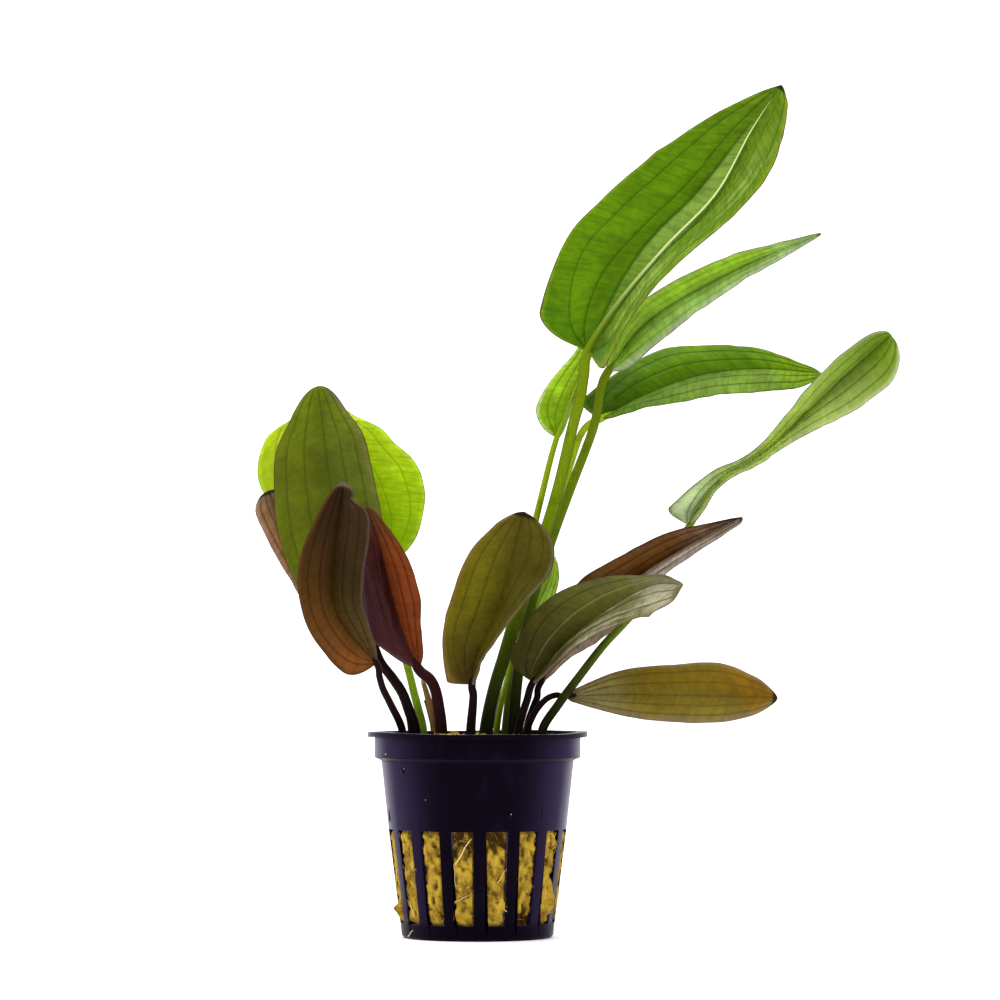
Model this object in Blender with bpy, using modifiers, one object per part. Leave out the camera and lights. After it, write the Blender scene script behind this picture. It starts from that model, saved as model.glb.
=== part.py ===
"""A potted echinodorus: a slotted plastic pot, its plug of rock wool, and fifteen leaves, each a blade
on a stem that stands in the wool. Metres, +Z up. The origin is the centre of the pot's underside,
and the plant is seen from the front along +Y, with +X to the right."""

import math

import bmesh
import bpy
import numpy as np
from mathutils import Vector

MM = 0.001
OBJECT_NAME = "potted_echinodorus"
GAP = 0.3 * MM

# The pot: outer radii and heights of a turned body that narrows towards its foot
POT_HEIGHT = 51.0 * MM
LIP_RADIUS = 27.4 * MM
LIP_THICKNESS = 1.2 * MM
COLLAR_RADIUS = 25.7 * MM
COLLAR_HEIGHT = 6.2 * MM
COLLAR_STEP = 0.8 * MM
BODY_TOP_RADIUS = 24.0 * MM
SLOT_TOP_RADIUS = 22.2 * MM
FOOT_RADIUS = 18.8 * MM
FOOT_ROUNDING = 0.6 * MM
WALL = 0.9 * MM
RIB_WALL = 1.3 * MM
FLOOR = 1.2 * MM
POT_STEPS = 64
SLOT_COUNT = 16
SLOT_ANGLE = math.radians(14.3)
FIRST_SLOT = math.radians(-90 + 12.9)
SLOT_BOTTOM = 3.8 * MM
SLOT_TOP = 27.0 * MM
DRAIN_COUNT = 8
DRAIN_SIZE = (5.0 * MM, 2.2 * MM)
DRAIN_RADIUS = 11.5 * MM

# The plug of rock wool fills the pot to just under its lip
WOOL_EDGE_HEIGHT = POT_HEIGHT - 1.2 * MM
WOOL_CROWN_HEIGHT = POT_HEIGHT - 0.5 * MM
WOOL_STEPS = 40
SOCKET_DEPTH = 5.0 * MM
SOCKET_SIDES = 8

# Blades and stems
BLADE_THICKNESS = 0.6 * MM
BLADE_ROWS = 11
BLADE_COLUMNS = 6
LEAST_HALF_WIDTH = 0.45 * MM
STEM_SIDES_SETTING = 1
STEM_POINT_EVERY = 7.5 * MM
CURVE_SAMPLES = 16
BULGE = 0.10
LOBE_SHARE = 0.3

# Each leaf, in millimetres and degrees. midrib: places from the blade's base to its tip. left and right:
# half widths at even shares of the midrib. left_turn and right_turn: how far each half is turned about
# the midrib out of the front view's plane, with its margin away from the front where it is positive.
# round_base and round_tip: the share of the length over which the outline rounds off. lobes: how far
# the left and right margins trail behind the base, in half widths. stem: places from just under the
# blade down to the wool. stem_width: diameters at those two ends.
LEAVES = {
    "tall_leaf_1": dict(
        midrib=((27.7, -6, 146.1), (34.9, -9, 157.3), (46.6, -13, 171.1), (59.0, -17, 184.1),
                (67.5, -20, 199.3), (74.7, -22, 210.4)),
        left=(14, 18.1, 20.8, 20.1, 19.2, 18.1, 14.1, 7.3, 0.8),
        right=(13, 16.7, 19.5, 19.9, 19.2, 15.8, 15.2, 11.2, 3.5),
        left_turn=(8, 8, 8, 8, 8), right_turn=(-60, -72, -68, -52, -40),
        round_base=0.05, round_tip=0.05, lobes=(0.2, 0.3),
        stem=((26.5, -6, 139.9), (25.5, -5.5, 133.5), (23.8, -5, 127.5), (20.0, -4, 111.4),
              (15.6, -3, 96.9), (9.7, -3, 79.0), (4.7, -3, 63.5), (2.2, -2, 51.8)),
        stem_width=(2.6, 3.6), colour="green",
    ),
    "tall_leaf_2": dict(
        midrib=((32.9, 2, 141.6), (40.8, 5, 152.3), (50.9, 8, 159.8), (67.5, 12, 168.7), (87.2, 16, 177.2)),
        left=(2.6, 4.5, 5.9, 5.9, 5.5, 4.9, 3.4, 1.9, 0.4), right=(4.4, 7, 7.8, 6.8, 5.9, 4.5, 3.6, 2.1, 0.4),
        left_turn=(-38, -38, -38, -38, -38), right_turn=(-38, -38, -38, -38, -38),
        round_base=0.05, round_tip=0.04, lobes=(0, 0),
        stem=((30.9, 2, 137.1), (29.9, 2, 131.1), (28.4, 1.5, 125.3), (23.1, 1, 111.5), (18.1, 1, 97.8),
              (13.4, 1, 82.8), (10.4, 1, 67.7), (8.9, 1, 51.7)),
        stem_width=(2.4, 3.2), colour="green",
    ),
    "tall_leaf_3": dict(
        midrib=((31.5, 8, 129.9), (42.5, 11, 135.8), (56.3, 15, 140.9), (71.8, 20, 142.9), (88.3, 26, 142.1)),
        left=(7, 9.1, 10.5, 10.9, 9.1, 7.7, 6.2, 3.6, 0.8),
        right=(4, 7.6, 10.6, 12.4, 11.9, 10.3, 8.3, 5.8, 0.8),
        left_turn=(30, 30, 30, 30, 30), right_turn=(-75, -63, -58, -47, -40),
        round_base=0.06, round_tip=0.05, lobes=(0.75, 0.2),
        stem=((28.2, 7.5, 128.4), (26.0, 7, 125.8), (24.2, 7, 121.0), (21.4, 7, 111.7), (16.9, 7, 95.4),
              (12.2, 7, 79.5), (8.7, 7, 63.9), (7.1, 7.5, 51.6)),
        stem_width=(1.8, 2.4), colour="green",
    ),
    "tall_leaf_4": dict(
        midrib=((19.9, 3, 124.9), (22.7, 5, 133.0), (25.7, 8, 140.7), (30.9, 12, 153.6), (36.5, 15, 165.2)),
        left=(6.5, 7.6, 6.8, 5.3, 3.4, 2.8, 2.2, 1.3, 0.4), right=(7, 7.5, 6, 3.8, 0.4),
        left_turn=(-15, -15, -15, -15, -15), right_turn=(84, 84, 84, 84, 84),
        round_base=0.12, round_tip=0.05, lobes=(0.1, 0.1),
        stem=((18.1, 3, 118.6), (16.4, 3, 111.6), (12.4, 3, 95.3), (8.4, 3, 78.5), (4.3, 3, 63.5),
              (1.8, 3, 51.7)),
        stem_width=(1.6, 2.8), colour="green",
    ),
    "spoon_leaf": dict(
        midrib=((53.6, 12, 103.0), (61.0, 14, 113.5), (72.0, 16, 120.9), (85.9, 18, 134.2),
                (105.1, 20, 151.8)),
        left=(8.9, 7.6, 7, 9.3, 11, 11.3, 10.2, 9.1, 8),
        right=(7, 7.5, 8.8, 9.2, 10.6, 10.2, 10, 9.8, 9),
        left_turn=(-30, -70, -73, -62, -62), right_turn=(-84, -83, -69, -31, -15),
        round_base=0.03, round_tip=0.14, lobes=(0.27, 0),
        stem=((49.0, 10.5, 95.2), (43.4, 8, 86.1), (37.3, 4.5, 78.8), (31.4, 0, 72.6), (25.2, -5, 64.8),
              (19.8, -7, 57.6), (16.2, -7.5, 51.9)),
        stem_width=(2.0, 2.5), colour="green",
    ),
    "round_leaf": dict(
        midrib=((-23.5, 12, 92.2), (-28.3, 15, 104.6), (-33.6, 19, 118.2), (-39.6, 24, 134.2)),
        left=(6, 9.6, 13, 16.2, 19, 21.8, 22.2, 19.5, 14),
        right=(3, 11, 15.4, 17, 16.7, 13.9, 11.6, 6.4, 3),
        left_turn=(5, 5, 5, 5, 5), right_turn=(-5, -5, -5, -5, -5),
        round_base=0.1, round_tip=0.06, lobes=(0.1, 0.2),
        stem=((-22.0, 11, 85.0), (-20.4, 9, 77.0), (-17.2, 6, 65.7), (-16.0, 4.5, 60.9), (-14.8, 3, 56.5),
              (-13.7, 2, 51.7)),
        stem_width=(1.6, 2.3), colour="yellow_green",
    ),
    "big_olive_leaf": dict(
        midrib=((-28.1, -2, 78.5), (-33.2, 1, 94.0), (-37.1, 4, 114.1), (-38.6, 6, 125.5), (-40.3, 9, 138.0)),
        left=(5, 9.8, 13.7, 15.2, 15.3, 14.4, 12.9, 9.8, 8),
        right=(5, 8.3, 11, 11.8, 11.6, 11.3, 10.4, 7.6, 7),
        left_turn=(10, 10, 10, 10, 10), right_turn=(-15, -15, -15, -15, -15),
        round_base=0.1, round_tip=0.25, lobes=(0.1, 0.1),
        stem=((-26.1, -2.5, 73.5), (-24.1, -3, 68.5), (-21.1, -3, 64.5), (-18.8, -3.5, 61.0),
              (-17.1, -4, 56.6), (-15.6, -4, 51.8)),
        stem_width=(2.2, 3.4), colour="olive",
    ),
    "grey_leaf": dict(
        midrib=((-29.0, 4, 72.7), (-37.7, 7, 84.6), (-46.6, 10, 99.0), (-53.1, 14, 111.7)),
        left=(3, 4.4, 5.2, 6, 5.9, 5.9, 5.9, 5.7, 5.3), right=(3, 7, 9, 7, 5),
        left_turn=(-20, -20, -20, -20, -20), right_turn=(10, 10, 10, 10, 10),
        round_base=0.1, round_tip=0.12, lobes=(0, 0),
        stem=((-25.0, 4, 68.5), (-21.2, 4, 63.7), (-18.7, 4.5, 59.7), (-17.3, 5, 55.9), (-16.5, 5, 51.6)),
        stem_width=(1.8, 2.6), colour="grey_brown",
    ),
    "dark_leaf": dict(
        midrib=((-25.0, -13, 68.3), (-30.9, -15, 75.0), (-35.0, -17, 81.9), (-35.5, -18, 91.2),
                (-34.2, -20, 102.3), (-32.6, -22, 112.7)),
        left=(6.9, 8, 8.2, 8.4, 8.9, 8.3, 6.8, 4.5, 2.2), right=(1.7, 4.6, 6.9, 8.2, 8.8, 9.2, 9.4, 8.2, 2),
        left_turn=(-15, -15, -15, -15, -15), right_turn=(-30, -30, -30, -30, -30),
        round_base=0.1, round_tip=0.1, lobes=(0.1, 0),
        stem=((-24.2, -12.4, 65.0), (-23.3, -12, 61.9), (-21.6, -10.5, 58.4), (-18.7, -8, 51.9)),
        stem_width=(1.6, 2.2), colour="dark_brown",
    ),
    "orange_leaf": dict(
        midrib=((-14.8, -6, 67.0), (-18.0, -6, 74.0), (-21.0, -5, 84.0), (-24.3, -4, 96.9),
                (-27.8, -3, 107.2)),
        left=(1, 6, 11.5, 10.5, 9.6, 8, 5.7, 3.6, 1.4),
        right=(2.2, 3.9, 5.2, 6.7, 6.9, 6.4, 4.9, 3.1, 1.2),
        left_turn=(-45, -45, -45, -45, -45), right_turn=(-10, -10, -10, -10, -10),
        round_base=0.08, round_tip=0.08, lobes=(0, 0),
        stem=((-11.8, -7, 64.3), (-10.3, -7.5, 61.1), (-9.5, -8, 56.6), (-9.0, -8.5, 51.9)),
        stem_width=(2.6, 3.5), colour="orange_brown",
    ),
    "centre_leaf": dict(
        midrib=((-1.3, -13, 63.1), (0.4, -13.5, 70.3), (2.9, -14.5, 76.0), (5.8, -15.5, 83.9),
                (8.3, -17, 93.2), (11.5, -20, 105.4)),
        left=(6, 8.7, 11.3, 11.9, 12, 11.4, 9.8, 6.5, 3.4),
        right=(4.1, 7, 9, 10, 10.2, 10.8, 11.2, 9.6, 5.5),
        left_turn=(10, 10, 10, 10, 10), right_turn=(-80, -78, -60, -25, -10),
        round_base=0.015, round_tip=0.12, lobes=(0.2, 0),
        stem=((-1.0, -12.5, 60.8), (-1.1, -12, 58.0), (-1.6, -11, 52.0)),
        stem_width=(2.1, 3.1), colour="olive_brown",
    ),
    "young_leaf": dict(
        midrib=((12.2, 12, 76.0), (15.2, 12, 82.8), (18.0, 13, 89.2), (19.5, 13, 95.0)),
        left=(1.5, 2.5, 2.8, 2, 0.4), right=(1.5, 2.7, 3.2, 2.5, 0.6),
        left_turn=(-20, -20, -20, -20, -20), right_turn=(-20, -20, -20, -20, -20),
        round_base=0.1, round_tip=0.1, lobes=(0, 0),
        stem=((10.1, 11, 72.7), (8.4, 10.5, 68.9), (7.4, 9.6, 63.9), (5.9, 9.2, 58.2), (4.8, 9, 51.6)),
        stem_width=(1.4, 1.9), colour="yellow_green",
    ),
    "right_leaf": dict(
        midrib=((13.8, -9, 63.6), (18.7, -11, 69.1), (26.6, -14, 77.0), (35.6, -18, 83.6), (43.6, -22, 87.4),
                (50.2, -25, 87.4)),
        left=(8.4, 10, 11.5, 11.4, 10.7, 9.9, 9, 7.2, 4),
        right=(4, 7.9, 11, 11.5, 11, 10.2, 9.8, 11.5, 13),
        left_turn=(5, 0, 30, 71, 78), right_turn=(-79, -84, -74, -56, -44),
        round_base=0.05, round_tip=0.16, lobes=(0.1, 0),
        stem=((12.3, -8.5, 59.1), (11.1, -8, 55.4), (10.3, -7.5, 51.9)),
        stem_width=(1.8, 2.4), colour="olive",
    ),
    "red_leaf": dict(
        midrib=((15.9, 1, 63.5), (24.4, 3, 74.6), (33.2, 4, 84.3), (44.0, 5, 92.3), (55.9, 7, 99.3),
                (66.6, 9, 104.9)),
        left=(4.2, 7, 10, 10.4, 8.6, 7.6, 6, 3.1, 0.3), right=(2, 5, 12, 14.5, 11, 7.5, 6, 5, 3),
        left_turn=(-35, -35, -35, -35, -35), right_turn=(-65, -65, -65, -65, -65),
        round_base=0.06, round_tip=0.05, lobes=(0, 0),
        stem=((14.9, 1, 59.7), (13.4, 1, 55.7), (12.4, 1, 51.7)),
        stem_width=(1.8, 2.4), colour="red_brown",
    ),
    "amber_leaf": dict(
        midrib=((22.3, -3.5, 60.0), (35.5, -3, 60.5), (55.2, -4, 60.1), (74.5, -6, 59.6)),
        left=(1, 3.7, 6.1, 7.4, 8, 8.8, 8.5, 5.8, 2.6), right=(1, 3.5, 5.4, 6.5, 6.9, 7, 6.5, 4.8, 2.6),
        left_turn=(20, 20, 20, 20, 20), right_turn=(-15, -15, -15, -15, -15),
        round_base=0.02, round_tip=0.12, lobes=(0, 0),
        stem=((19.6, -3.5, 60.3), (17.1, -3.5, 59.3), (14.8, -3.5, 56.8), (13.3, -3.5, 54.1),
              (12.6, -3.5, 51.8)),
        stem_width=(1.6, 2.2), colour="amber",
    ),
}

# The remains of two older leaves: the thin stub of a stem, and a dry sheath beside the orange leaf's stem
DRY_STUB = ((-13.1, -3, 59.0), (-12.1, -3.5, 55.6), (-11.3, -4, 51.8))
DRY_STUB_WIDTH = (0.6, 1.0)
DRY_SHEATH = dict(
    midrib=((-10.5, -5.5, 51.3), (-11.6, -5.5, 57.6), (-12.6, -5, 61.1), (-13.8, -4.5, 64.5)),
    left=(1, 1.1, 1.1, 0.8, 0.5), right=(0.6, 0.6, 0.6, 0.5, 0.4),
    left_turn=(-20, -20, -20, -20, -20), right_turn=(-20, -20, -20, -20, -20),
    round_base=0.02, round_tip=0.1, lobes=(0, 0),
)

# Linear base colours and roughness
FINISHES = {
    "pot_plastic": ((0.012, 0.008, 0.020), 0.35),
    "rock_wool": ((0.36, 0.22, 0.03), 0.95),
    "green": ((0.11, 0.26, 0.005), 0.42),
    "yellow_green": ((0.38, 0.55, 0.01), 0.45),
    "olive": ((0.10, 0.15, 0.012), 0.42),
    "olive_brown": ((0.11, 0.09, 0.008), 0.42),
    "grey_brown": ((0.16, 0.09, 0.07), 0.5),
    "dark_brown": ((0.05, 0.02, 0.008), 0.4),
    "orange_brown": ((0.22, 0.06, 0.015), 0.4),
    "red_brown": ((0.15, 0.05, 0.015), 0.42),
    "amber": ((0.25, 0.15, 0.01), 0.42),
    "green_stem": ((0.16, 0.24, 0.01), 0.4),
    "dark_stem": ((0.03, 0.012, 0.018), 0.4),
    "dry_leaf": ((0.45, 0.30, 0.12), 0.8),
}
GREEN_STEMS = ("green", "yellow_green")


def clear_scene():
    for existing in list(bpy.data.objects):
        bpy.data.objects.remove(existing)


def new_collection(name):
    collection = bpy.data.collections.new(name)
    bpy.context.scene.collection.children.link(collection)
    return collection


def make_materials():
    materials = {}
    for name, (colour, roughness) in FINISHES.items():
        material = bpy.data.materials.new(name)
        material.use_nodes = True
        shader = material.node_tree.nodes["Principled BSDF"]
        shader.inputs["Base Color"].default_value = (*colour, 1)
        shader.inputs["Roughness"].default_value = roughness
        materials[name] = material
    return materials


def add_object(name, mesh, collection, material=None):
    obj = bpy.data.objects.new(name, mesh)
    collection.objects.link(obj)
    if material:
        mesh.materials.append(material)
    return obj


def as_cutter(obj):
    obj.hide_render = True
    obj.display_type = "WIRE"
    return obj


def cut(obj, cutter):
    boolean = obj.modifiers.new("cut_" + cutter.name, "BOOLEAN")
    boolean.operation = "DIFFERENCE"
    boolean.object = cutter


def curve_point(knots, place):
    """The point at a place, counted in knots, of the smooth Catmull-Rom curve through the knots."""
    step = min(int(place), len(knots) - 2)
    share = place - step
    before = knots[step - 1] if step > 0 else 2 * knots[0] - knots[1]
    after = knots[step + 2] if step + 2 < len(knots) else 2 * knots[-1] - knots[-2]
    start, end = knots[step], knots[step + 1]
    return (
        2 * start
        + (end - before) * share
        + (2 * before - 5 * start + 4 * end - after) * share**2
        + (3 * start - before - 3 * end + after) * share**3
    ) / 2


def smooth_path(points, shares):
    """Points at the given shares of the length of the smooth curve through points, which are in mm."""
    knots = np.array(points, float) * MM
    places = np.linspace(0, len(knots) - 1, CURVE_SAMPLES * (len(knots) - 1) + 1)
    fine = np.array([curve_point(knots, place) for place in places])
    lengths = np.linalg.norm(np.diff(fine, axis=0), axis=1)
    along = np.concatenate([[0], np.cumsum(lengths)]) / lengths.sum()
    return [Vector([np.interp(share, along, fine[:, axis]) for axis in range(3)]) for share in shares]


def path_length(points):
    dense = smooth_path(points, np.linspace(0, 1, CURVE_SAMPLES))
    return sum((b - a).length for a, b in zip(dense, dense[1:]))


def station(values, share):
    """The value at a share of the length, between values given at even shares."""
    return float(curve_point(np.array(values, float), share * (len(values) - 1)))


def rounding(share, span):
    """Rises from 0 to 1 like a quarter circle while share goes from 0 to span."""
    if share >= span:
        return 1
    return math.sqrt(1 - (1 - share / span) ** 2)


def half_width(leaf, side, share):
    width = station(leaf["left"] if side > 0 else leaf["right"], share) * MM
    width *= rounding(share, leaf["round_base"]) * rounding(1 - share, leaf["round_tip"])
    return max(width, LEAST_HALF_WIDTH)


def blade_point(leaf, share, across):
    """A point of the blade's middle surface: share runs from base to tip, across from the right margin
    at -1 over the midrib at 0 to the left margin at 1."""
    step = 0.01
    before, here, after = smooth_path(leaf["midrib"], (max(share - step, 0), share, min(share + step, 1)))
    forward = (after - before).normalized()
    beside = forward.cross(Vector((0, 1, 0))).normalized()
    back = beside.cross(forward)
    side = 1 if across >= 0 else -1
    turn = math.radians(station(leaf["left_turn"] if side > 0 else leaf["right_turn"], share))
    outward = beside * (side * math.cos(turn)) + back * math.sin(turn)
    raised = beside * (side * math.sin(turn)) - back * math.cos(turn)
    reach = abs(across)
    width = half_width(leaf, side, share)
    lobe = leaf["lobes"][0 if side > 0 else 1] * max(0, 1 - share / LOBE_SHARE) ** 2
    raising = width * BULGE * math.sin(math.pi * reach)
    return here + outward * (width * reach) + raised * raising - forward * (width * reach * lobe)


def make_blade(name, leaf, collection, material, rows=BLADE_ROWS, columns=BLADE_COLUMNS):
    """A grid bent over the midrib's curve, given its thickness by Solidify."""
    bm = bmesh.new()
    bmesh.ops.create_grid(bm, x_segments=columns, y_segments=rows, size=1)
    for vertex in bm.verts:
        share = 0.5 - 0.5 * math.cos(math.pi * (vertex.co.y + 1) / 2)
        vertex.co = blade_point(leaf, share, vertex.co.x)
    mesh = bpy.data.meshes.new(name)
    bm.to_mesh(mesh)
    bm.free()
    mesh.shade_smooth()
    blade = add_object(name, mesh, collection, material)
    solidify = blade.modifiers.new("thickness", "SOLIDIFY")
    solidify.thickness = BLADE_THICKNESS
    solidify.offset = 0
    return blade


def make_stem(name, points, widths, collection, material):
    """A tapering tube through the points, from its upper end down into its socket in the wool."""
    foot = points[-1]
    below = (foot[0], foot[1], (WOOL_EDGE_HEIGHT - SOCKET_DEPTH + GAP) / MM)
    route = (*points, below)
    count = max(4, round(path_length(route) / STEM_POINT_EVERY))
    shares = np.linspace(0, 1, count + 1)
    curve = bpy.data.curves.new(name, "CURVE")
    curve.dimensions = "3D"
    curve.bevel_depth = widths[1] / 2 * MM
    curve.bevel_resolution = STEM_SIDES_SETTING
    curve.use_fill_caps = True
    spline = curve.splines.new("POLY")
    spline.points.add(len(shares) - 1)
    for point, place, share in zip(spline.points, smooth_path(route, shares), shares):
        point.co = (*place, 1)
        point.radius = (widths[0] + (widths[1] - widths[0]) * share) / widths[1]
    curve.materials.append(material)
    stem = bpy.data.objects.new(name, curve)
    collection.objects.link(stem)
    return stem


def stem_points(leaf):
    """The stem's route, stopped short of the blade by the gap and by what its end would cut off."""
    base = Vector(leaf["midrib"][0])
    blade_way = (Vector(leaf["midrib"][1]) - base).normalized()
    stem_way = (base - Vector(leaf["stem"][0])).normalized()
    top_radius = leaf["stem_width"][0] / 2
    short = GAP / MM + top_radius * stem_way.cross(blade_way).length + top_radius * 0.2
    top = base - stem_way * short
    return (tuple(top), *leaf["stem"])


def turned(name, profile, steps, collection, material):
    """A closed body turned from a profile of (radius, height) that starts and ends on the axis."""
    bm = bmesh.new()
    corners = [bm.verts.new((radius, 0, height)) for radius, height in profile]
    for start, end in zip(corners, corners[1:]):
        bm.edges.new((start, end))
    mesh = bpy.data.meshes.new(name)
    bm.to_mesh(mesh)
    bm.free()
    obj = add_object(name, mesh, collection, material)
    screw = obj.modifiers.new("turn", "SCREW")
    screw.steps = steps
    screw.render_steps = steps
    screw.use_merge_vertices = True
    screw.merge_threshold = 0.00001
    return obj


def pot_radius(height):
    """The outer radius of the pot's body, under its collar."""
    collar_foot = POT_HEIGHT - COLLAR_HEIGHT - COLLAR_STEP
    heights = (0, SLOT_TOP, collar_foot)
    return float(np.interp(height, heights, (FOOT_RADIUS, SLOT_TOP_RADIUS, BODY_TOP_RADIUS)))


def pot_profile():
    collar_foot = POT_HEIGHT - COLLAR_HEIGHT
    body_top = collar_foot - COLLAR_STEP
    lip_foot = POT_HEIGHT - LIP_THICKNESS
    slot_shoulder = SLOT_TOP + RIB_WALL
    inside = [
        (0, FLOOR),
        (pot_radius(FLOOR) - RIB_WALL, FLOOR),
        (pot_radius(SLOT_TOP) - RIB_WALL, SLOT_TOP),
        (pot_radius(slot_shoulder) - WALL, slot_shoulder),
        (BODY_TOP_RADIUS - WALL, body_top),
        (COLLAR_RADIUS - WALL, collar_foot),
        (COLLAR_RADIUS - WALL, POT_HEIGHT),
    ]
    outside = [
        (LIP_RADIUS, POT_HEIGHT),
        (LIP_RADIUS, lip_foot),
        (COLLAR_RADIUS, lip_foot),
        (COLLAR_RADIUS, collar_foot),
        (BODY_TOP_RADIUS, body_top),
        (SLOT_TOP_RADIUS, SLOT_TOP),
        (pot_radius(FOOT_ROUNDING), FOOT_ROUNDING),
        (FOOT_RADIUS - FOOT_ROUNDING, 0),
        (0, 0),
    ]
    return inside + outside


def slot_cutters(collection):
    """One wedge for each slot in the wall, and one block for each drain slot in the floor, in one mesh."""
    inner, outer = FOOT_RADIUS * 0.8, LIP_RADIUS
    bm = bmesh.new()
    for number in range(SLOT_COUNT):
        angle = FIRST_SLOT + math.radians(360 / SLOT_COUNT) * number
        block = bmesh.ops.create_cube(bm, size=1)["verts"]
        for vertex in block:
            radius = inner if vertex.co.x < 0 else outer
            height = SLOT_BOTTOM if vertex.co.z < 0 else SLOT_TOP
            around = angle + math.copysign(SLOT_ANGLE / 2, vertex.co.y)
            vertex.co = (radius * math.cos(around), radius * math.sin(around), height)
    for number in range(DRAIN_COUNT):
        angle = math.radians(360 / DRAIN_COUNT) * number
        block = bmesh.ops.create_cube(bm, size=1)["verts"]
        for vertex in block:
            along = DRAIN_RADIUS + vertex.co.x * DRAIN_SIZE[0]
            aside = vertex.co.y * DRAIN_SIZE[1]
            vertex.co = (
                along * math.cos(angle) - aside * math.sin(angle),
                along * math.sin(angle) + aside * math.cos(angle),
                vertex.co.z * FLOOR * 4,
            )
    mesh = bpy.data.meshes.new("slots")
    bm.to_mesh(mesh)
    bm.free()
    return as_cutter(add_object("slots", mesh, collection))


def make_pot(collection, cutters, material):
    pot = turned("pot", pot_profile(), POT_STEPS, collection, material)
    cut(pot, slot_cutters(cutters))
    return pot


def wool_profile():
    collar_foot = POT_HEIGHT - COLLAR_HEIGHT
    body_top = collar_foot - COLLAR_STEP
    slot_shoulder = SLOT_TOP + RIB_WALL
    return [
        (0, WOOL_CROWN_HEIGHT),
        (COLLAR_RADIUS * 0.6, WOOL_CROWN_HEIGHT),
        (COLLAR_RADIUS - WALL - 2 * GAP, WOOL_EDGE_HEIGHT),
        (COLLAR_RADIUS - WALL - 2 * GAP, collar_foot + 2 * GAP),
        (BODY_TOP_RADIUS - WALL - 2 * GAP, body_top),
        (pot_radius(slot_shoulder) - WALL - 2 * GAP, slot_shoulder + 2 * GAP),
        (pot_radius(SLOT_TOP) - RIB_WALL - 2 * GAP, SLOT_TOP - GAP),
        (pot_radius(FLOOR) - RIB_WALL - 2 * GAP, FLOOR + GAP),
        (0, FLOOR + GAP),
    ]


def socket_cutters(feet, collection):
    """A short upright cylinder round the foot of each stem, all in one mesh."""
    bottom = WOOL_EDGE_HEIGHT - SOCKET_DEPTH
    top = POT_HEIGHT + SOCKET_DEPTH
    bm = bmesh.new()
    for (x, y, _), width in feet:
        radius = width / 2 * MM + GAP
        cylinder = bmesh.ops.create_cone(
            bm, cap_ends=True, segments=SOCKET_SIDES, radius1=radius, radius2=radius, depth=top - bottom
        )["verts"]
        bmesh.ops.translate(bm, verts=cylinder, vec=(x * MM, y * MM, (bottom + top) / 2))
    mesh = bpy.data.meshes.new("sockets")
    bm.to_mesh(mesh)
    bm.free()
    return as_cutter(add_object("sockets", mesh, collection))


def make_wool(collection, cutters, material, feet):
    wool = turned("rock_wool", wool_profile(), WOOL_STEPS, collection, material)
    cut(wool, socket_cutters(feet, cutters))
    return wool


def main():
    clear_scene()
    parts = new_collection(OBJECT_NAME)
    cutters = new_collection("cutters")
    materials = make_materials()
    feet = [(leaf["stem"][-1], leaf["stem_width"][1]) for leaf in LEAVES.values()]
    feet.append((DRY_STUB[-1], DRY_STUB_WIDTH[1]))
    make_pot(parts, cutters, materials["pot_plastic"])
    make_wool(parts, cutters, materials["rock_wool"], feet)
    for name, leaf in LEAVES.items():
        stem_material = materials["green_stem" if leaf["colour"] in GREEN_STEMS else "dark_stem"]
        make_blade(name, leaf, parts, materials[leaf["colour"]])
        make_stem(name.replace("leaf", "stem"), stem_points(leaf), leaf["stem_width"], parts, stem_material)
    make_stem("dry_stub", DRY_STUB, DRY_STUB_WIDTH, parts, materials["dark_stem"])
    make_blade("dry_sheath", DRY_SHEATH, parts, materials["dry_leaf"], rows=4, columns=2)


main()
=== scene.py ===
"""The potted echinodorus, dressed: a slotted pot, rock wool with its fibres and roots, fifteen leaves.
Metres, +Z up. The plant is seen from the front along +Y, with +X to the right."""

import math

import bmesh
import bpy
import numpy as np
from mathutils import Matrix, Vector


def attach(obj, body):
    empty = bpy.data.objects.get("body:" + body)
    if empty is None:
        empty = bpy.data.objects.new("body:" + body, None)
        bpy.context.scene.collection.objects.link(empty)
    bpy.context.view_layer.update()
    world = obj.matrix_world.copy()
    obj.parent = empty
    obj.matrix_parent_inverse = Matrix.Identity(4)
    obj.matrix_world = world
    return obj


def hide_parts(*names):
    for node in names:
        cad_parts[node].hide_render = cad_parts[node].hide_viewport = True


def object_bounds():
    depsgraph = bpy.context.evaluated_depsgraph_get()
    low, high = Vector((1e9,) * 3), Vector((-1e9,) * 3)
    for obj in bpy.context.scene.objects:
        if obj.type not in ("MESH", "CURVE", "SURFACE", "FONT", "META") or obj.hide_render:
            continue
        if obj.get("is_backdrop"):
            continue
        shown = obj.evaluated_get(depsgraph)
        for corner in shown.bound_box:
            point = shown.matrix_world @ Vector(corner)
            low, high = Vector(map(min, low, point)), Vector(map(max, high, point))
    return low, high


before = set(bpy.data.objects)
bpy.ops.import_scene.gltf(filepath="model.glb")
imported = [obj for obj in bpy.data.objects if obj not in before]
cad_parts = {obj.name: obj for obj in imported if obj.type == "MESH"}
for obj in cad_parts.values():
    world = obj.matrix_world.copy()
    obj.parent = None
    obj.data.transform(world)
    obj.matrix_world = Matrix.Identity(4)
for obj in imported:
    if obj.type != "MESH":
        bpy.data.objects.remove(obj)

CAD_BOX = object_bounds()
MM = 0.001
TURN = 2 * math.pi

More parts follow.
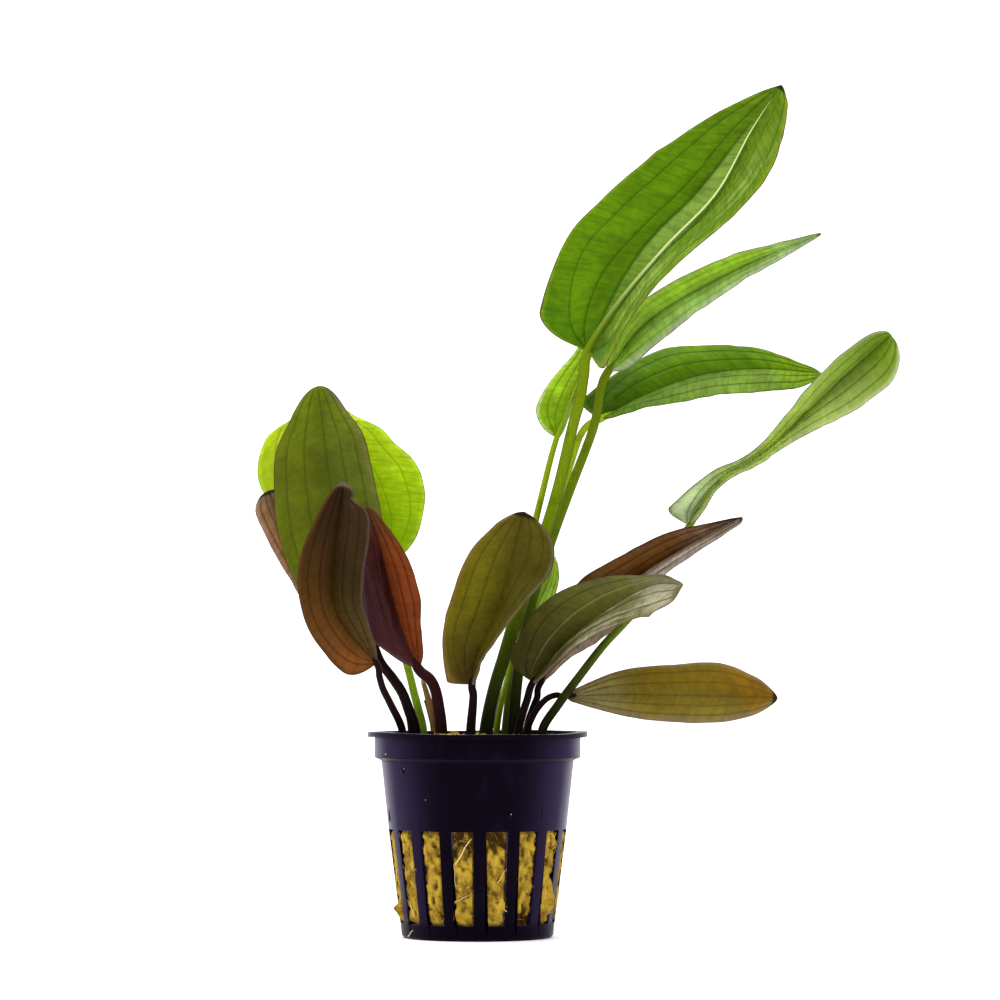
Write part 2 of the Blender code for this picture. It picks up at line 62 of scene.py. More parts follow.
# The pot: outer radii and heights of a turned body that narrows towards its foot
POT_HEIGHT = 51.0 * MM
LIP_RADIUS = 27.4 * MM
LIP_THICKNESS = 1.2 * MM
COLLAR_RADIUS = 25.7 * MM
COLLAR_HEIGHT = 6.2 * MM
COLLAR_STEP = 0.8 * MM
BODY_TOP_RADIUS = 24.0 * MM
SLOT_TOP_RADIUS = 22.2 * MM
FOOT_RADIUS = 18.8 * MM
FOOT_ROUNDING = 0.6 * MM
# The height up to which painted shade darkens the pot's foot
FOOT_SHADE_HEIGHT = 5.0 * MM
WALL = 0.9 * MM
RIB_WALL = 1.3 * MM
FLOOR = 1.2 * MM
POT_STEPS = 128
POT_EDGE = 0.15 * MM
EDGE_ANGLE = math.radians(35)
SPIN_RADIUS = 1.0 * MM
MERGE_DISTANCE = 0.00001
SLOT_COUNT = 16
SLOT_ANGLE = math.radians(14.3)
FIRST_SLOT = math.radians(-90 + 12.9)
SLOT_BOTTOM = 3.8 * MM
SLOT_TOP = 27.0 * MM
DRAIN_COUNT = 8
DRAIN_SIZE = (5.0 * MM, 2.2 * MM)
DRAIN_RADIUS = 11.5 * MM

# Heights on the pot that follow from those
LIP_FOOT = POT_HEIGHT - LIP_THICKNESS
COLLAR_FOOT = POT_HEIGHT - COLLAR_HEIGHT
BODY_TOP = COLLAR_FOOT - COLLAR_STEP
SLOT_SHOULDER = SLOT_TOP + RIB_WALL

# The rock wool: its surface swells into the slots, and fibres stand on it
WOOL_EDGE_HEIGHT = POT_HEIGHT - 1.2 * MM
WOOL_CROWN_HEIGHT = POT_HEIGHT - 0.5 * MM
WOOL_CLEAR = 0.3 * MM
WOOL_STEPS = 400
WOOL_RINGS = 150
WOOL_SWELL = 1.2 * MM
WOOL_LUMP = 0.45 * MM
WOOL_POLE = 0.5 * MM
SWELL_EDGE = 0.8 * MM
TOP_FADE = 0.5 * MM
TOP_RELIEF = 0.5
TOP_SINK = 0.8
SOCKET_DEPTH = 5.0 * MM
FIBRE_DENSITY = 0.7
FIBRE_LENGTH = 2.0 * MM
FIBRE_RADIUS = 0.03 * MM
FIBRE_SEED = 7
PER_SQUARE_MM = 1000000.0

# Lumps in the slots and on the top: height, length across and along, and seed
SLOT_LUMPS = ((0.6, 3 * MM, 3.2 * MM, 3), (0.5, 1.4 * MM, 1.5 * MM, 4))
TOP_LUMPS = ((1, 7 * MM, 7 * MM, 5), (0.6, 2.5 * MM, 2.5 * MM, 6))

# Where the wool bulges out of a slot or lies deeper in it: angle in degrees, then height, reach and lift
# in millimetres. The heaps on its top are given by x, y, reach and lift.
WOOL_BULGES = (
    (-71.5, 8.5, 1.3, 1.7), (-28, 9.3, 2.6, 2.0), (-164, 7, 1.7, 2.0), (-104, 6.3, 1.2, 1.3),
    (-77, 25.5, 2.6, -2.4), (-52, 4.4, 2.4, -2.8), (-100, 25, 3.4, -1.5), (-121, 26, 1.6, -0.8),
)
WOOL_HEAPS = ((-5.2, -18, 2.0, 1.7), (4.4, -18, 1.1, 1.5), (-9.5, -16, 1.5, 0.8))

# Pale roots in the front's slots: each end's angle in degrees and height in millimetres, then the width
FRONT_ROOTS = (
    ((-105, 19.0), (-93.7, 25.3), 0.4), ((-106, 19.0), (-104.4, 13.5), 0.2),
    ((-76.2, 14.5), (-70, 17.8), 0.25), ((-106, 9.8), (-95.4, 11.5), 0.22),
    ((-73.7, 9.2), (-68.5, 7.4), 0.35), ((-155.5, 0.6), (-146.4, 2.3), 0.35),
)
ROOT_STEPS = 12
ROOT_WAVE = 0.5

# Dark drops and pale specks on the pot: angle in degrees, height, width and length in millimetres, paleness
# Two pale specks, on the drops at -140.7 and -69 degrees, are their painted glints; the other pale specks are
# dust
MARKS = (
    (-140.7, 41.7, 1.7, 2.0, 0), (-165.0, 30.9, 0.9, 4.4, 0), (-44.6, 31.1, 0.9, 3.2, 0),
    (-69, 30.6, 0.8, 0.9, 0), (-68.4, 31.3, 0.35, 0.3, 1), (-151.8, 45.8, 0.5, 0.5, 1),
    (-123.4, 34.8, 0.35, 0.35, 0.6), (-10, 41, 0.5, 0.7, 1), (-136.2, 17.5, 0.4, 0.6, 0.5),
    (-139.5, 42.3, 0.45, 0.35, 0.8), (-54, 20, 0.3, 0.4, 0.5), (65, 37, 0.9, 1.2, 0),
    (104, 33, 0.5, 2.8, 0), (140, 40, 0.4, 0.4, 0.8), (30, 35, 0.35, 0.4, 0.7),
)
LIP_WAVE = 0.14 * MM

# Blades and stalks. Shares are of the blade's length, or of a half's width.
BLADE_ROWS = 110
HALF_COLUMNS = 20
BLADE_THICKNESS = (0.36 * MM, 0.16 * MM)
LEAST_HALF_WIDTH = 0.12 * MM
CURVE_SAMPLES = 24
BULGE = 0.10
LOBE_SHARE = 0.3
STALK_POINTS = 6
STALK_RIDGE = 0.9
STALK_STEP = 0.8 * MM
STEM_TAPER = 0.8
RIB_END = 0.985
RIB_SETTLES = 0.08
RIB_TAPER = ((0, 0.12, 0.5, 1), (1, 0.62, 0.34, 0.12))
VEIN_SPREADING = 0.25
VEIN_DEPTH = 0.10 * MM
VEIN_SPREAD = 0.4 * MM
VEIN_COLUMN = 0.015
PUCKER = 0.12 * MM
PUCKER_LENGTH = 5 * MM
PUCKER_WIDTH = 7 * MM
FLAT_BY_RIB = 2 * MM
MARGIN_WAVE = 0.10 * MM
WAVING_WIDTH = 3 * MM
LIFT_LENGTH = 13 * MM
SWAY_LENGTH = 9 * MM

# The camera, the light all round and overhead, and the white floor
CAMERA_SENSOR = 36
CAMERA_LENS = 162
CAMERA_PLACE = (0.0056, -1.125, 0.075)
CAMERA_TILT = math.atan(136 / 4500)
WORLD_STRENGTH = 1.55
FRONT_STRENGTH = 1.35
BACKDROP_STRENGTH = 1.55
DIM_WAY = (0.3, -0.95, 0.0)
LAMP_POWER = 20
LAMP_SIZE = 1.6
LAMP_PLACE = (-0.2, -0.1, 1.5)
GROUND_REACH = 12.0
GROUND_COLOUR = (0.97, 0.97, 0.97, 1)

# Each leaf, in millimetres and degrees. midrib: places from the blade's base to its tip. left and right:
# half widths at even shares of the midrib. left_turn and right_turn: how far each half is turned about
# the midrib out of the front view's plane, with its margin away from the front where it is positive, as
# one angle or as angles at even shares. left_fold and right_fold: shares of a half's width and its height
# there, in widths, where it isn't the usual bulge. right_nick: a nick's place and reach along the blade,
# as shares, and its depth. round_base and round_tip: the share of the length over which the outline
# rounds off. lobes: how far the left and right margins trail behind the base, in half widths. stem:
# places from just under the blade down to the wool. stem_width: diameters at those two ends. veins: where
# each half's two lengthwise veins lie, as shares of its width. rib: how far the midrib lies behind the
# blade's surface, in its own radii. What a leaf leaves out is as in USUAL_LEAF.
USUAL_LEAF = dict(lobes=(0, 0), veins=(0.38, 0.72), rib=1.2)
LEAVES = {
    "tall_leaf_1": dict(
        midrib=((27.7, -6, 146.1), (34.9, -9, 157.3), (46.6, -13, 171.1), (59.0, -17, 184.1),
                (67.5, -20, 199.3), (74.7, -22, 210.4)),
        left=(14, 18.1, 20.8, 20.1, 19.2, 18.1, 14.1, 7.3, 0.8),
        right=(13, 16.7, 19.5, 19.9, 19.2, 15.8, 15.2, 11.2, 3.5),
        left_turn=8, right_turn=(-60, -72, -68, -52, -40),
        left_fold=((0, 0.22, 0.5, 1), (0, -0.10, -0.02, 0)),
        right_fold=((0, 0.18, 0.42, 0.55, 1), (0, -0.05, 0.08, 0.03, 0.06)),
        round_base=0.05, round_tip=0.05, lobes=(0.2, 0.3),
        stem=((26.5, -6, 139.9), (25.5, -5.5, 133.5), (23.8, -5, 127.5), (20.0, -4, 111.4),
              (15.6, -3, 96.9), (9.7, -3, 79.0), (4.7, -3, 63.5), (2.2, -2, 51.8)),
        stem_width=(2.6, 3.6), veins=(0.4, 0.75), rib=0,
    ),
    "tall_leaf_2": dict(
        midrib=((32.9, 2, 141.6), (40.8, 5, 152.3), (50.9, 8, 159.8), (67.5, 12, 168.7), (87.2, 16, 177.2)),
        left=(2.6, 4.5, 5.9, 5.9, 5.5, 4.9, 3.4, 1.9, 0.4), right=(4.4, 7, 7.8, 6.8, 5.9, 4.5, 3.6, 2.1, 0.4),
        left_turn=-38, right_turn=-38,
        round_base=0.05, round_tip=0.04,
        stem=((30.9, 2, 137.1), (29.9, 2, 131.1), (28.4, 1.5, 125.3), (23.1, 1, 111.5), (18.1, 1, 97.8),
              (13.4, 1, 82.8), (10.4, 1, 67.7), (8.9, 1, 51.7)),
        stem_width=(2.4, 3.2),
    ),
    "tall_leaf_3": dict(
        midrib=((31.5, 8, 129.9), (42.5, 11, 135.8), (56.3, 15, 140.9), (71.8, 20, 142.9), (88.3, 26, 142.1)),
        left=(7, 9.1, 10.5, 10.9, 9.1, 7.7, 6.2, 3.6, 0.8),
        right=(4, 7.6, 10.6, 12.4, 11.9, 10.3, 8.3, 5.8, 0.8),
        left_turn=30, right_turn=(-75, -63, -58, -47, -40),
        round_base=0.06, round_tip=0.05, lobes=(0.75, 0.2),
        stem=((28.2, 7.5, 128.4), (26.0, 7, 125.8), (24.2, 7, 121.0), (21.4, 7, 111.7), (16.9, 7, 95.4),
              (12.2, 7, 79.5), (8.7, 7, 63.9), (7.1, 7.5, 51.6)),
        stem_width=(1.8, 2.4),
    ),
    "tall_leaf_4": dict(
        midrib=((19.9, 3, 124.9), (22.7, 5, 133.0), (25.7, 8, 140.7), (30.9, 12, 153.6), (36.5, 15, 165.2)),
        left=(6.5, 7.6, 6.8, 5.3, 3.4, 2.8, 2.2, 1.3, 0.4), right=(7, 7.5, 6, 3.8, 0.4),
        left_turn=-15, right_turn=84,
        round_base=0.12, round_tip=0.05, lobes=(0.1, 0.1),
        stem=((18.1, 3, 118.6), (16.4, 3, 111.6), (12.4, 3, 95.3), (8.4, 3, 78.5), (4.3, 3, 63.5),
              (1.8, 3, 51.7)),
        stem_width=(1.6, 2.8), rib=0.3,
    ),
    "spoon_leaf": dict(
        midrib=((53.6, 12, 103.0), (61.0, 14, 113.5), (72.0, 16, 120.9), (85.9, 18, 134.2),
                (105.1, 20, 151.8)),
        left=(8.9, 7.6, 7, 9.3, 11, 11.3, 10.2, 9.1, 8),
        right=(7, 7.5, 8.8, 9.2, 10.6, 10.2, 10, 9.8, 9),
        left_turn=(-30, -70, -73, -62, -62), right_turn=(-84, -83, -69, -31, -15),
        round_base=0.03, round_tip=0.14, lobes=(0.27, 0),
        stem=((49.0, 10.5, 95.2), (43.4, 8, 86.1), (37.3, 4.5, 78.8), (31.4, 0, 72.6), (25.2, -5, 64.8),
              (19.8, -7, 57.6), (16.2, -7.5, 51.9)),
        stem_width=(2.0, 2.5),
    ),
    "round_leaf": dict(
        midrib=((-23.5, 12, 92.2), (-28.3, 15, 104.6), (-33.6, 19, 118.2), (-39.6, 24, 134.2)),
        left=(6, 9.6, 13, 16.2, 19, 21.8, 22.2, 19.5, 14),
        right=(3, 11, 15.4, 17, 16.7, 13.9, 11.6, 6.4, 3),
        left_turn=5, right_turn=-5,
        round_base=0.1, round_tip=0.06, lobes=(0.1, 0.2),
        stem=((-22.0, 11, 85.0), (-20.4, 9, 77.0), (-17.2, 6, 65.7), (-16.0, 4.5, 60.9), (-14.8, 3, 56.5),
              (-13.7, 2, 51.7)),
        stem_width=(1.6, 2.3), veins=(0.4, 0.75), rib=0.4,
    ),
    "big_olive_leaf": dict(
        midrib=((-28.1, -2, 78.5), (-33.2, 1, 94.0), (-37.1, 4, 114.1), (-38.6, 6, 125.5), (-40.3, 9, 138.0)),
        left=(5, 9.8, 13.7, 15.2, 15.3, 14.4, 12.9, 9.8, 8),
        right=(5, 8.3, 11, 11.8, 11.6, 11.3, 10.4, 7.6, 7),
        left_turn=10, right_turn=-15,
        round_base=0.1, round_tip=0.25, lobes=(0.1, 0.1),
        stem=((-26.1, -2.5, 73.5), (-24.1, -3, 68.5), (-21.1, -3, 64.5), (-18.8, -3.5, 61.0),
              (-17.1, -4, 56.6), (-15.6, -4, 51.8)),
        stem_width=(2.2, 3.4), veins=(0.4, 0.75),
    ),
    "grey_leaf": dict(
        midrib=((-29.0, 4, 72.7), (-37.7, 7, 84.6), (-46.6, 10, 99.0), (-53.1, 14, 111.7)),
        left=(3, 4.4, 5.2, 6, 5.9, 5.9, 5.9, 5.7, 5.3), right=(3, 7, 9, 7, 5),
        left_turn=-20, right_turn=10,
        round_base=0.1, round_tip=0.12,
        stem=((-25.0, 4, 68.5), (-21.2, 4, 63.7), (-18.7, 4.5, 59.7), (-17.3, 5, 55.9), (-16.5, 5, 51.6)),
        stem_width=(1.8, 2.6),
    ),
    "dark_leaf": dict(
        midrib=((-25.0, -13, 68.3), (-30.9, -15, 75.0), (-35.0, -17, 81.9), (-35.5, -18, 91.2),
                (-34.2, -20, 102.3), (-32.6, -22, 112.7)),
        left=(6.9, 8, 8.2, 8.4, 8.9, 8.3, 6.8, 4.5, 2.2), right=(1.7, 4.6, 6.9, 8.2, 8.8, 9.2, 9.4, 8.2, 2),
        left_turn=-15, right_turn=-30,
        round_base=0.1, round_tip=0.1, lobes=(0.1, 0), right_nick=(0.925, 0.022, 0.5),
        stem=((-24.2, -12.4, 65.0), (-23.3, -12, 61.9), (-21.6, -10.5, 58.4), (-18.7, -8, 51.9)),
        stem_width=(1.6, 2.2),
    ),
    "orange_leaf": dict(
        midrib=((-14.8, -6, 67.0), (-18.0, -6, 74.0), (-21.0, -5, 84.0), (-24.3, -4, 96.9),
                (-27.8, -3, 107.2)),
        left=(1, 6, 11.5, 10.5, 9.6, 8, 5.7, 3.6, 1.4),
        right=(2.2, 3.9, 5.2, 6.7, 6.9, 6.4, 4.9, 3.1, 1.2),
        left_turn=-45, right_turn=-10,
        round_base=0.08, round_tip=0.08,
        stem=((-11.8, -7, 64.3), (-10.3, -7.5, 61.1), (-9.5, -8, 56.6), (-9.0, -8.5, 51.9)),
        stem_width=(2.6, 3.5), rib=0.6,
    ),
    "centre_leaf": dict(
        midrib=((-1.3, -13, 63.1), (0.4, -13.5, 70.3), (2.9, -14.5, 76.0), (5.8, -15.5, 83.9),
                (8.3, -17, 93.2), (11.5, -20, 105.4)),
        left=(6, 8.7, 11.3, 11.9, 12, 11.4, 9.8, 6.5, 3.4),
        right=(4.1, 7, 9, 10, 10.2, 10.8, 11.2, 9.6, 5.5),
        left_turn=10, right_turn=(-80, -78, -60, -25, -10),
        round_base=0.015, round_tip=0.12, lobes=(0.2, 0),
        stem=((-1.0, -12.5, 60.8), (-1.1, -12, 58.0), (-1.6, -11, 52.0)),
        stem_width=(2.1, 3.1),
    ),
    "young_leaf": dict(
        midrib=((12.2, 12, 76.0), (15.2, 12, 82.8), (18.0, 13, 89.2), (19.5, 13, 95.0)),
        left=(1.5, 2.5, 2.8, 2, 0.4), right=(1.5, 2.7, 3.2, 2.5, 0.6),
        left_turn=-20, right_turn=-20,
        round_base=0.1, round_tip=0.1,
        stem=((10.1, 11, 72.7), (8.4, 10.5, 68.9), (7.4, 9.6, 63.9), (5.9, 9.2, 58.2), (4.8, 9, 51.6)),
        stem_width=(1.4, 1.9), rib=0.3,
    ),
    "right_leaf": dict(
        midrib=((13.8, -9, 63.6), (18.7, -11, 69.1), (26.6, -14, 77.0), (35.6, -18, 83.6), (43.6, -22, 87.4),
                (50.2, -25, 87.4)),
        left=(8.4, 10, 11.5, 11.4, 10.7, 9.9, 9, 7.2, 4),
        right=(4, 7.9, 11, 11.5, 11, 10.2, 9.8, 11.5, 13),
        left_turn=(5, 0, 30, 71, 78), right_turn=(-79, -84, -74, -56, -44),
        round_base=0.05, round_tip=0.16, lobes=(0.1, 0),
        stem=((12.3, -8.5, 59.1), (11.1, -8, 55.4), (10.3, -7.5, 51.9)),
        stem_width=(1.8, 2.4),
    ),
    "red_leaf": dict(
        midrib=((15.9, 1, 63.5), (24.4, 3, 74.6), (33.2, 4, 84.3), (44.0, 5, 92.3), (55.9, 7, 99.3),
                (66.6, 9, 104.9)),
        left=(4.2, 7, 10, 10.4, 8.6, 7.6, 6, 3.1, 0.3), right=(2, 5, 12, 14.5, 11, 7.5, 6, 5, 3),
        left_turn=-35, right_turn=-65,
        round_base=0.06, round_tip=0.05,
        stem=((14.9, 1, 59.7), (13.4, 1, 55.7), (12.4, 1, 51.7)),
        stem_width=(1.8, 2.4),
    ),
    "amber_leaf": dict(
        midrib=((22.3, -3.5, 60.0), (35.5, -3, 60.5), (55.2, -4, 60.1), (74.5, -6, 59.6)),
        left=(1, 3.7, 6.1, 7.4, 8, 8.8, 8.5, 5.8, 2.6), right=(1, 3.5, 5.4, 6.5, 6.9, 7, 6.5, 4.8, 2.6),
        left_turn=20, right_turn=-15,
        round_base=0.02, round_tip=0.12,
        stem=((19.6, -3.5, 60.3), (17.1, -3.5, 59.3), (14.8, -3.5, 56.8), (13.3, -3.5, 54.1),
              (12.6, -3.5, 51.8)),
        stem_width=(1.6, 2.2),
    ),
    "dry_sheath": dict(
        midrib=((-10.5, -5.5, 51.3), (-11.6, -5.5, 57.6), (-12.6, -5, 61.1), (-13.8, -4.5, 64.5)),
        left=(1, 1.1, 1.1, 0.8, 0.5), right=(0.6, 0.6, 0.6, 0.5, 0.4),
        left_turn=-20, right_turn=-20,
        round_base=0.02, round_tip=0.1,
        stem=((-10.4, -5.5, 49.5),), stem_width=(0.5, 0.7), rib=0.3,
    ),
}

# The old stub, from its top down into the wool, and its diameters there
DRY_STUB = ((-13.1, -3, 59.0), (-12.1, -3.5, 55.6), (-11.3, -4, 51.8), (-11.2, -4, 46.0))
DRY_STUB_WIDTH = (0.6, 1.0)

# What each leaf's tints must name, what stands in for colours that they leave out, and the usual amounts
PLAIN_TINTS = ("left", "right", "tip", "vein")
LEAF_COLOURS = dict(left_inner="left", right_inner="right", left_base="base", right_base="base",
                    left_tip="tip", right_tip="tip", left_edge="edge", right_edge="edge", end="tip",
                    streak="edge", pale_vein="vein")
LEAF_AMOUNTS = dict(base_reach=0.4, tip_start=0.68, left_reach=0, right_reach=0, left_margin=0.8,
                    right_margin=0.8, first_vein=0, second_vein=0, veined=0.65, netted=0.35, rimmed=0.5,
                    crease=0.5, left_streaks=0, right_streaks=0)

# The tints of each leaf as seen, 0 to 255, and amounts. left, right: the halves. left_inner, right_inner:
# the strips beside the midrib, which take up the share left_reach or right_reach of a half; they carry
# painted sheen and painted shade where the blade folds there, and the veins' tint along their borders is a
# painted shade line in the groove. edge: the margins, left_margin or right_margin millimetres wide. base,
# tip: towards the ends, up to base_reach and from tip_start on, as shares of the length. Each of these may
# differ in the two halves. end: the very end. streak: pale streaks of painted sheen, as strong as
# left_streaks and right_streaks. vein: the veins, pale_vein: the left half's first one, and veined and
# netted: how strong the lengthwise and the small ones are. rimmed: how dark the rim is. crease: how softly
# one half's tint goes over into the other's. under: how pale the underside is. gloss: how much it
# reflects. rib: the midrib. stalk, foot: the stem's upper end and its foot, whose tint goes over into the
# other's up to foot_reach.
TINTS = {
    "tall_leaf_1": dict(
        # The pale strip beside the midrib is painted sheen and the dark one painted shade; the pale rib is
        # partly painted highlight along the fold's crest
        left=(98, 136, 2), left_inner=(140, 168, 72), left_reach=0.24, right=(104, 134, 22),
        right_inner=(62, 98, 10), right_reach=0.42, left_base=(84, 126, 4), right_base=(84, 118, 24),
        tip=(102, 130, 20), edge=(130, 154, 34), right_edge=(132, 146, 28), right_margin=2.0,
        streak=(172, 192, 118), right_streaks=0.4, base_reach=0.12, end=(40, 36, 12), vein=(50, 88, 4),
        veined=0.5, rib=(196, 210, 140), stalk=(92, 112, 6), foot=(15, 20, 3), rimmed=0.8, crease=0.02,
        slot="green",
    ),
    "tall_leaf_2": dict(
        # The wide pale right edge is painted sheen
        left=(154, 186, 50), right=(158, 186, 98), base=(150, 182, 60), tip=(176, 194, 142),
        edge=(158, 176, 100), right_edge=(178, 186, 154), right_margin=2.2, end=(90, 100, 70),
        vein=(96, 140, 40), veined=0.4, netted=0.3, rib=(160, 184, 104), stalk=(84, 102, 10),
        foot=(14, 16, 4), slot="green",
    ),
    "tall_leaf_3": dict(
        left=(98, 136, 8), right=(128, 158, 56), base=(68, 100, 8), right_base=(104, 138, 38),
        tip=(138, 170, 12), edge=(128, 152, 48), vein=(52, 86, 6), rib=(62, 96, 8), stalk=(140, 160, 24),
        foot=(52, 62, 10), crease=0.04, netted=0.3, slot="green",
    ),
    "tall_leaf_4": dict(
        left=(166, 194, 40), right=(160, 188, 12), base=(134, 168, 22), tip=(150, 184, 34),
        edge=(196, 212, 140), vein=(92, 134, 14), rib=(136, 168, 40), stalk=(118, 138, 14),
        foot=(20, 24, 4), slot="green",
    ),
    "spoon_leaf": dict(
        left=(166, 186, 90), right=(176, 190, 114), left_base=(196, 208, 176), right_base=(146, 164, 70),
        tip=(106, 134, 32), right_tip=(118, 142, 36), tip_start=0.5, edge=(156, 170, 120),
        left_margin=1.0, right_margin=1.6, right_edge=(178, 188, 146), vein=(66, 96, 14),
        rib=(116, 140, 40), stalk=(112, 138, 26), foot=(20, 17, 7), foot_reach=1.1, crease=0.04,
        netted=0.12, veined=0.5, slot="green",
    ),
    "round_leaf": dict(
        left=(162, 180, 26), right=(164, 186, 12), base=(156, 186, 12), tip=(168, 178, 30),
        right_tip=(196, 198, 26), edge=(182, 204, 44), left_margin=1.6, right_margin=1.6,
        vein=(128, 166, 6), rib=(150, 182, 20), stalk=(128, 168, 30), foot=(84, 104, 20), netted=0.5,
        slot="yellow_green",
    ),
    "big_olive_leaf": dict(
        left=(96, 106, 12), right=(92, 102, 26), base=(74, 82, 18), tip=(98, 114, 10),
        edge=(104, 106, 30), right_edge=(110, 108, 54), left_margin=0.7, right_margin=2.4, rimmed=0.9,
        vein=(62, 74, 8), netted=0.2, veined=0.5, rib=(62, 76, 12), stalk=(26, 13, 13), foot=(6, 2, 4),
        slot="olive",
    ),
    "grey_leaf": dict(
        left=(162, 118, 82), right=(126, 84, 46), base=(136, 82, 36), tip=(128, 102, 70),
        edge=(154, 126, 108), left_margin=1.4, end=(44, 26, 22), vein=(86, 60, 44), rib=(100, 74, 50),
        netted=0.25, stalk=(28, 13, 12), foot=(6, 2, 4), slot="grey_brown",
    ),
    "dark_leaf": dict(
        # The pale right rim is partly painted highlight on the curled margin
        left=(72, 46, 9), left_base=(126, 76, 32), right=(52, 39, 9), right_base=(84, 66, 28),
        base_reach=0.55, tip=(46, 28, 11), right_tip=(60, 43, 20), tip_start=0.42, edge=(92, 60, 28),
        left_margin=1.2, right_edge=(92, 74, 66), rimmed=0.3, end=(110, 92, 86), vein=(36, 18, 6),
        netted=0.18, veined=0.45, rib=(34, 18, 6), stalk=(26, 11, 11), foot=(6, 2, 4), slot="dark_brown",
    ),
    "orange_leaf": dict(
        left=(48, 15, 16), right=(130, 64, 26), left_base=(78, 42, 50), right_base=(124, 58, 20),
        tip=(88, 48, 38), right_tip=(100, 66, 34), edge=(112, 62, 36), left_edge=(92, 70, 82),
        left_margin=0.9, streak=(84, 58, 76), left_streaks=0.3, netted=0.2, vein=(84, 38, 18),
        rib=(60, 26, 24), stalk=(36, 12, 12), foot=(9, 3, 5), crease=0.08, slot="orange_brown",
    ),
    "centre_leaf": dict(
        left=(104, 96, 9), right=(72, 66, 10), base=(74, 58, 9), tip=(88, 80, 16), edge=(130, 106, 48),
        left_margin=1.5, right_edge=(108, 100, 66), right_margin=1.3, end=(40, 26, 12), vein=(62, 56, 8),
        netted=0.22, veined=0.45, rib=(52, 44, 8), stalk=(20, 8, 10), foot=(6, 2, 4), slot="olive_brown",
    ),
    "young_leaf": dict(
        left=(170, 194, 84), right=(174, 198, 92), base=(130, 160, 26), tip=(190, 206, 110),
        edge=(180, 198, 90), vein=(130, 165, 40), rib=(150, 180, 60), stalk=(126, 150, 14),
        foot=(70, 86, 12), slot="yellow_green",
    ),
    "right_leaf": dict(
        left=(90, 92, 28), right=(92, 94, 32), left_base=(74, 68, 25), right_base=(62, 58, 22),
        base_reach=0.6, tip=(114, 108, 76), right_tip=(160, 156, 130), under=0.04, edge=(82, 74, 32),
        right_edge=(132, 112, 92), right_margin=1.2, streak=(196, 192, 176), right_streaks=0.6,
        gloss=0.07, vein=(54, 54, 16), pale_vein=(128, 130, 78), netted=0.25, rib=(48, 42, 14),
        stalk=(20, 8, 10), foot=(7, 2, 4), crease=0.03, slot="olive",
    ),
    "red_leaf": dict(
        left=(106, 70, 24), right=(150, 138, 126), base=(92, 52, 22), right_base=(176, 160, 140),
        tip=(144, 118, 104), right_tip=(150, 136, 122), edge=(78, 44, 28), right_edge=(170, 148, 142),
        streak=(206, 196, 196), right_streaks=0.5, right_margin=0.7, gloss=0.1, end=(70, 44, 48),
        vein=(66, 34, 18), netted=0.22, rib=(62, 30, 20), stalk=(20, 8, 10), foot=(7, 2, 4), crease=0.03,
        slot="red_brown",
    ),
    "amber_leaf": dict(
        left=(118, 98, 20), right=(128, 112, 38), base=(156, 146, 96), tip=(136, 96, 12),
        edge=(138, 120, 82), right_edge=(134, 120, 82), left_margin=1.4, right_margin=2.8,
        end=(50, 32, 16), vein=(80, 68, 12), netted=0.2, veined=0.4, rib=(92, 86, 16), stalk=(28, 12, 14),
        foot=(7, 2, 4), slot="amber",
    ),
    "dry_sheath": dict(
        left=(176, 138, 84), right=(150, 114, 70), base=(120, 84, 50), tip=(196, 164, 118),
        edge=(180, 148, 100), vein=(130, 96, 50), rib=(160, 124, 70), stalk=(140, 104, 56),
        foot=(110, 80, 40), slot="dry_leaf",
    ),
}

# The tints of the old stub, the pot, the wool, the roots in it and the marks on the pot, as seen
STUB_TINTS = dict(rib=(44, 24, 24), stalk=(32, 14, 20), foot=(24, 10, 16))
# Of the pot's tints, turned and outline are painted reflection and dark is painted shade
POT_TINTS = dict(front=(5, 1, 10), turned=(33, 24, 50), film=(34, 24, 48), outline=(118, 112, 132),
                 dark=(6, 1, 10))
# Of the wool's tints, the pale one on the tufts is painted highlight, and the ones between the tufts and in
# its deepest places are painted shade
WOOL_TINTS = dict(brown=(120, 90, 24), golden=(178, 146, 44), tuft_highlight=(212, 178, 66), gap=(96, 66, 14),
                  strand=(214, 188, 96), deep=(58, 36, 9), fibre=(200, 168, 70), dark_fibre=(112, 82, 20))
ROOT_TINTS = dict(thick=(196, 164, 92), thin=(216, 196, 146), patch=(160, 122, 52))
# The pale mark tints serve both the dust and the painted glints on two drops
MARK_TINTS = dict(drop=(5, 1, 9), dust_and_glint=(196, 192, 204), dull_dust_and_glint=(120, 112, 128))

# Linear colours: the leaves' rims and undersides and the light through them, and what a stalk's tint is
# multiplied by where it is dark or pale; the dark one serves both its darker patches and its sides' painted
# shade
RIM_COLOUR = (0.05, 0.022, 0.012, 1)
UNDERSIDE_COLOUR = (0.35, 0.36, 0.30, 1)
GLOW_COLOUR = (1.25, 1.25, 0.8, 1)
GLOW_SHARE = 0.4
STALK_DARK_AND_SHADE = (0.45, 0.36, 0.4, 1)
STALK_PALE = (1.6, 1.5, 1.5, 1)


def linear(tint):
    """A colour given as seen, 0 to 255, as the linear colour that the shaders take."""
    shares = [value / 255 for value in tint]
    return (*[share / 12.92 if share < 0.04 else ((share + 0.055) / 1.055) ** 2.4 for share in shares], 1)


class Term:
    """An output in a node tree that can be added, taken away and multiplied as a number can."""

    def __init__(self, socket):
        self.socket = socket
        self.tree = socket.id_data

    def __add__(self, other):
        return maths("ADD", self, other)

    def __sub__(self, other):
        return maths("SUBTRACT", self, other)

    def __mul__(self, other):
        return maths("MULTIPLY", self, other)

    def __abs__(self):
        return maths("ABSOLUTE", self)

    def beside(self, name):
        """Another output of the same node."""
        return Term(self.socket.node.outputs[name])


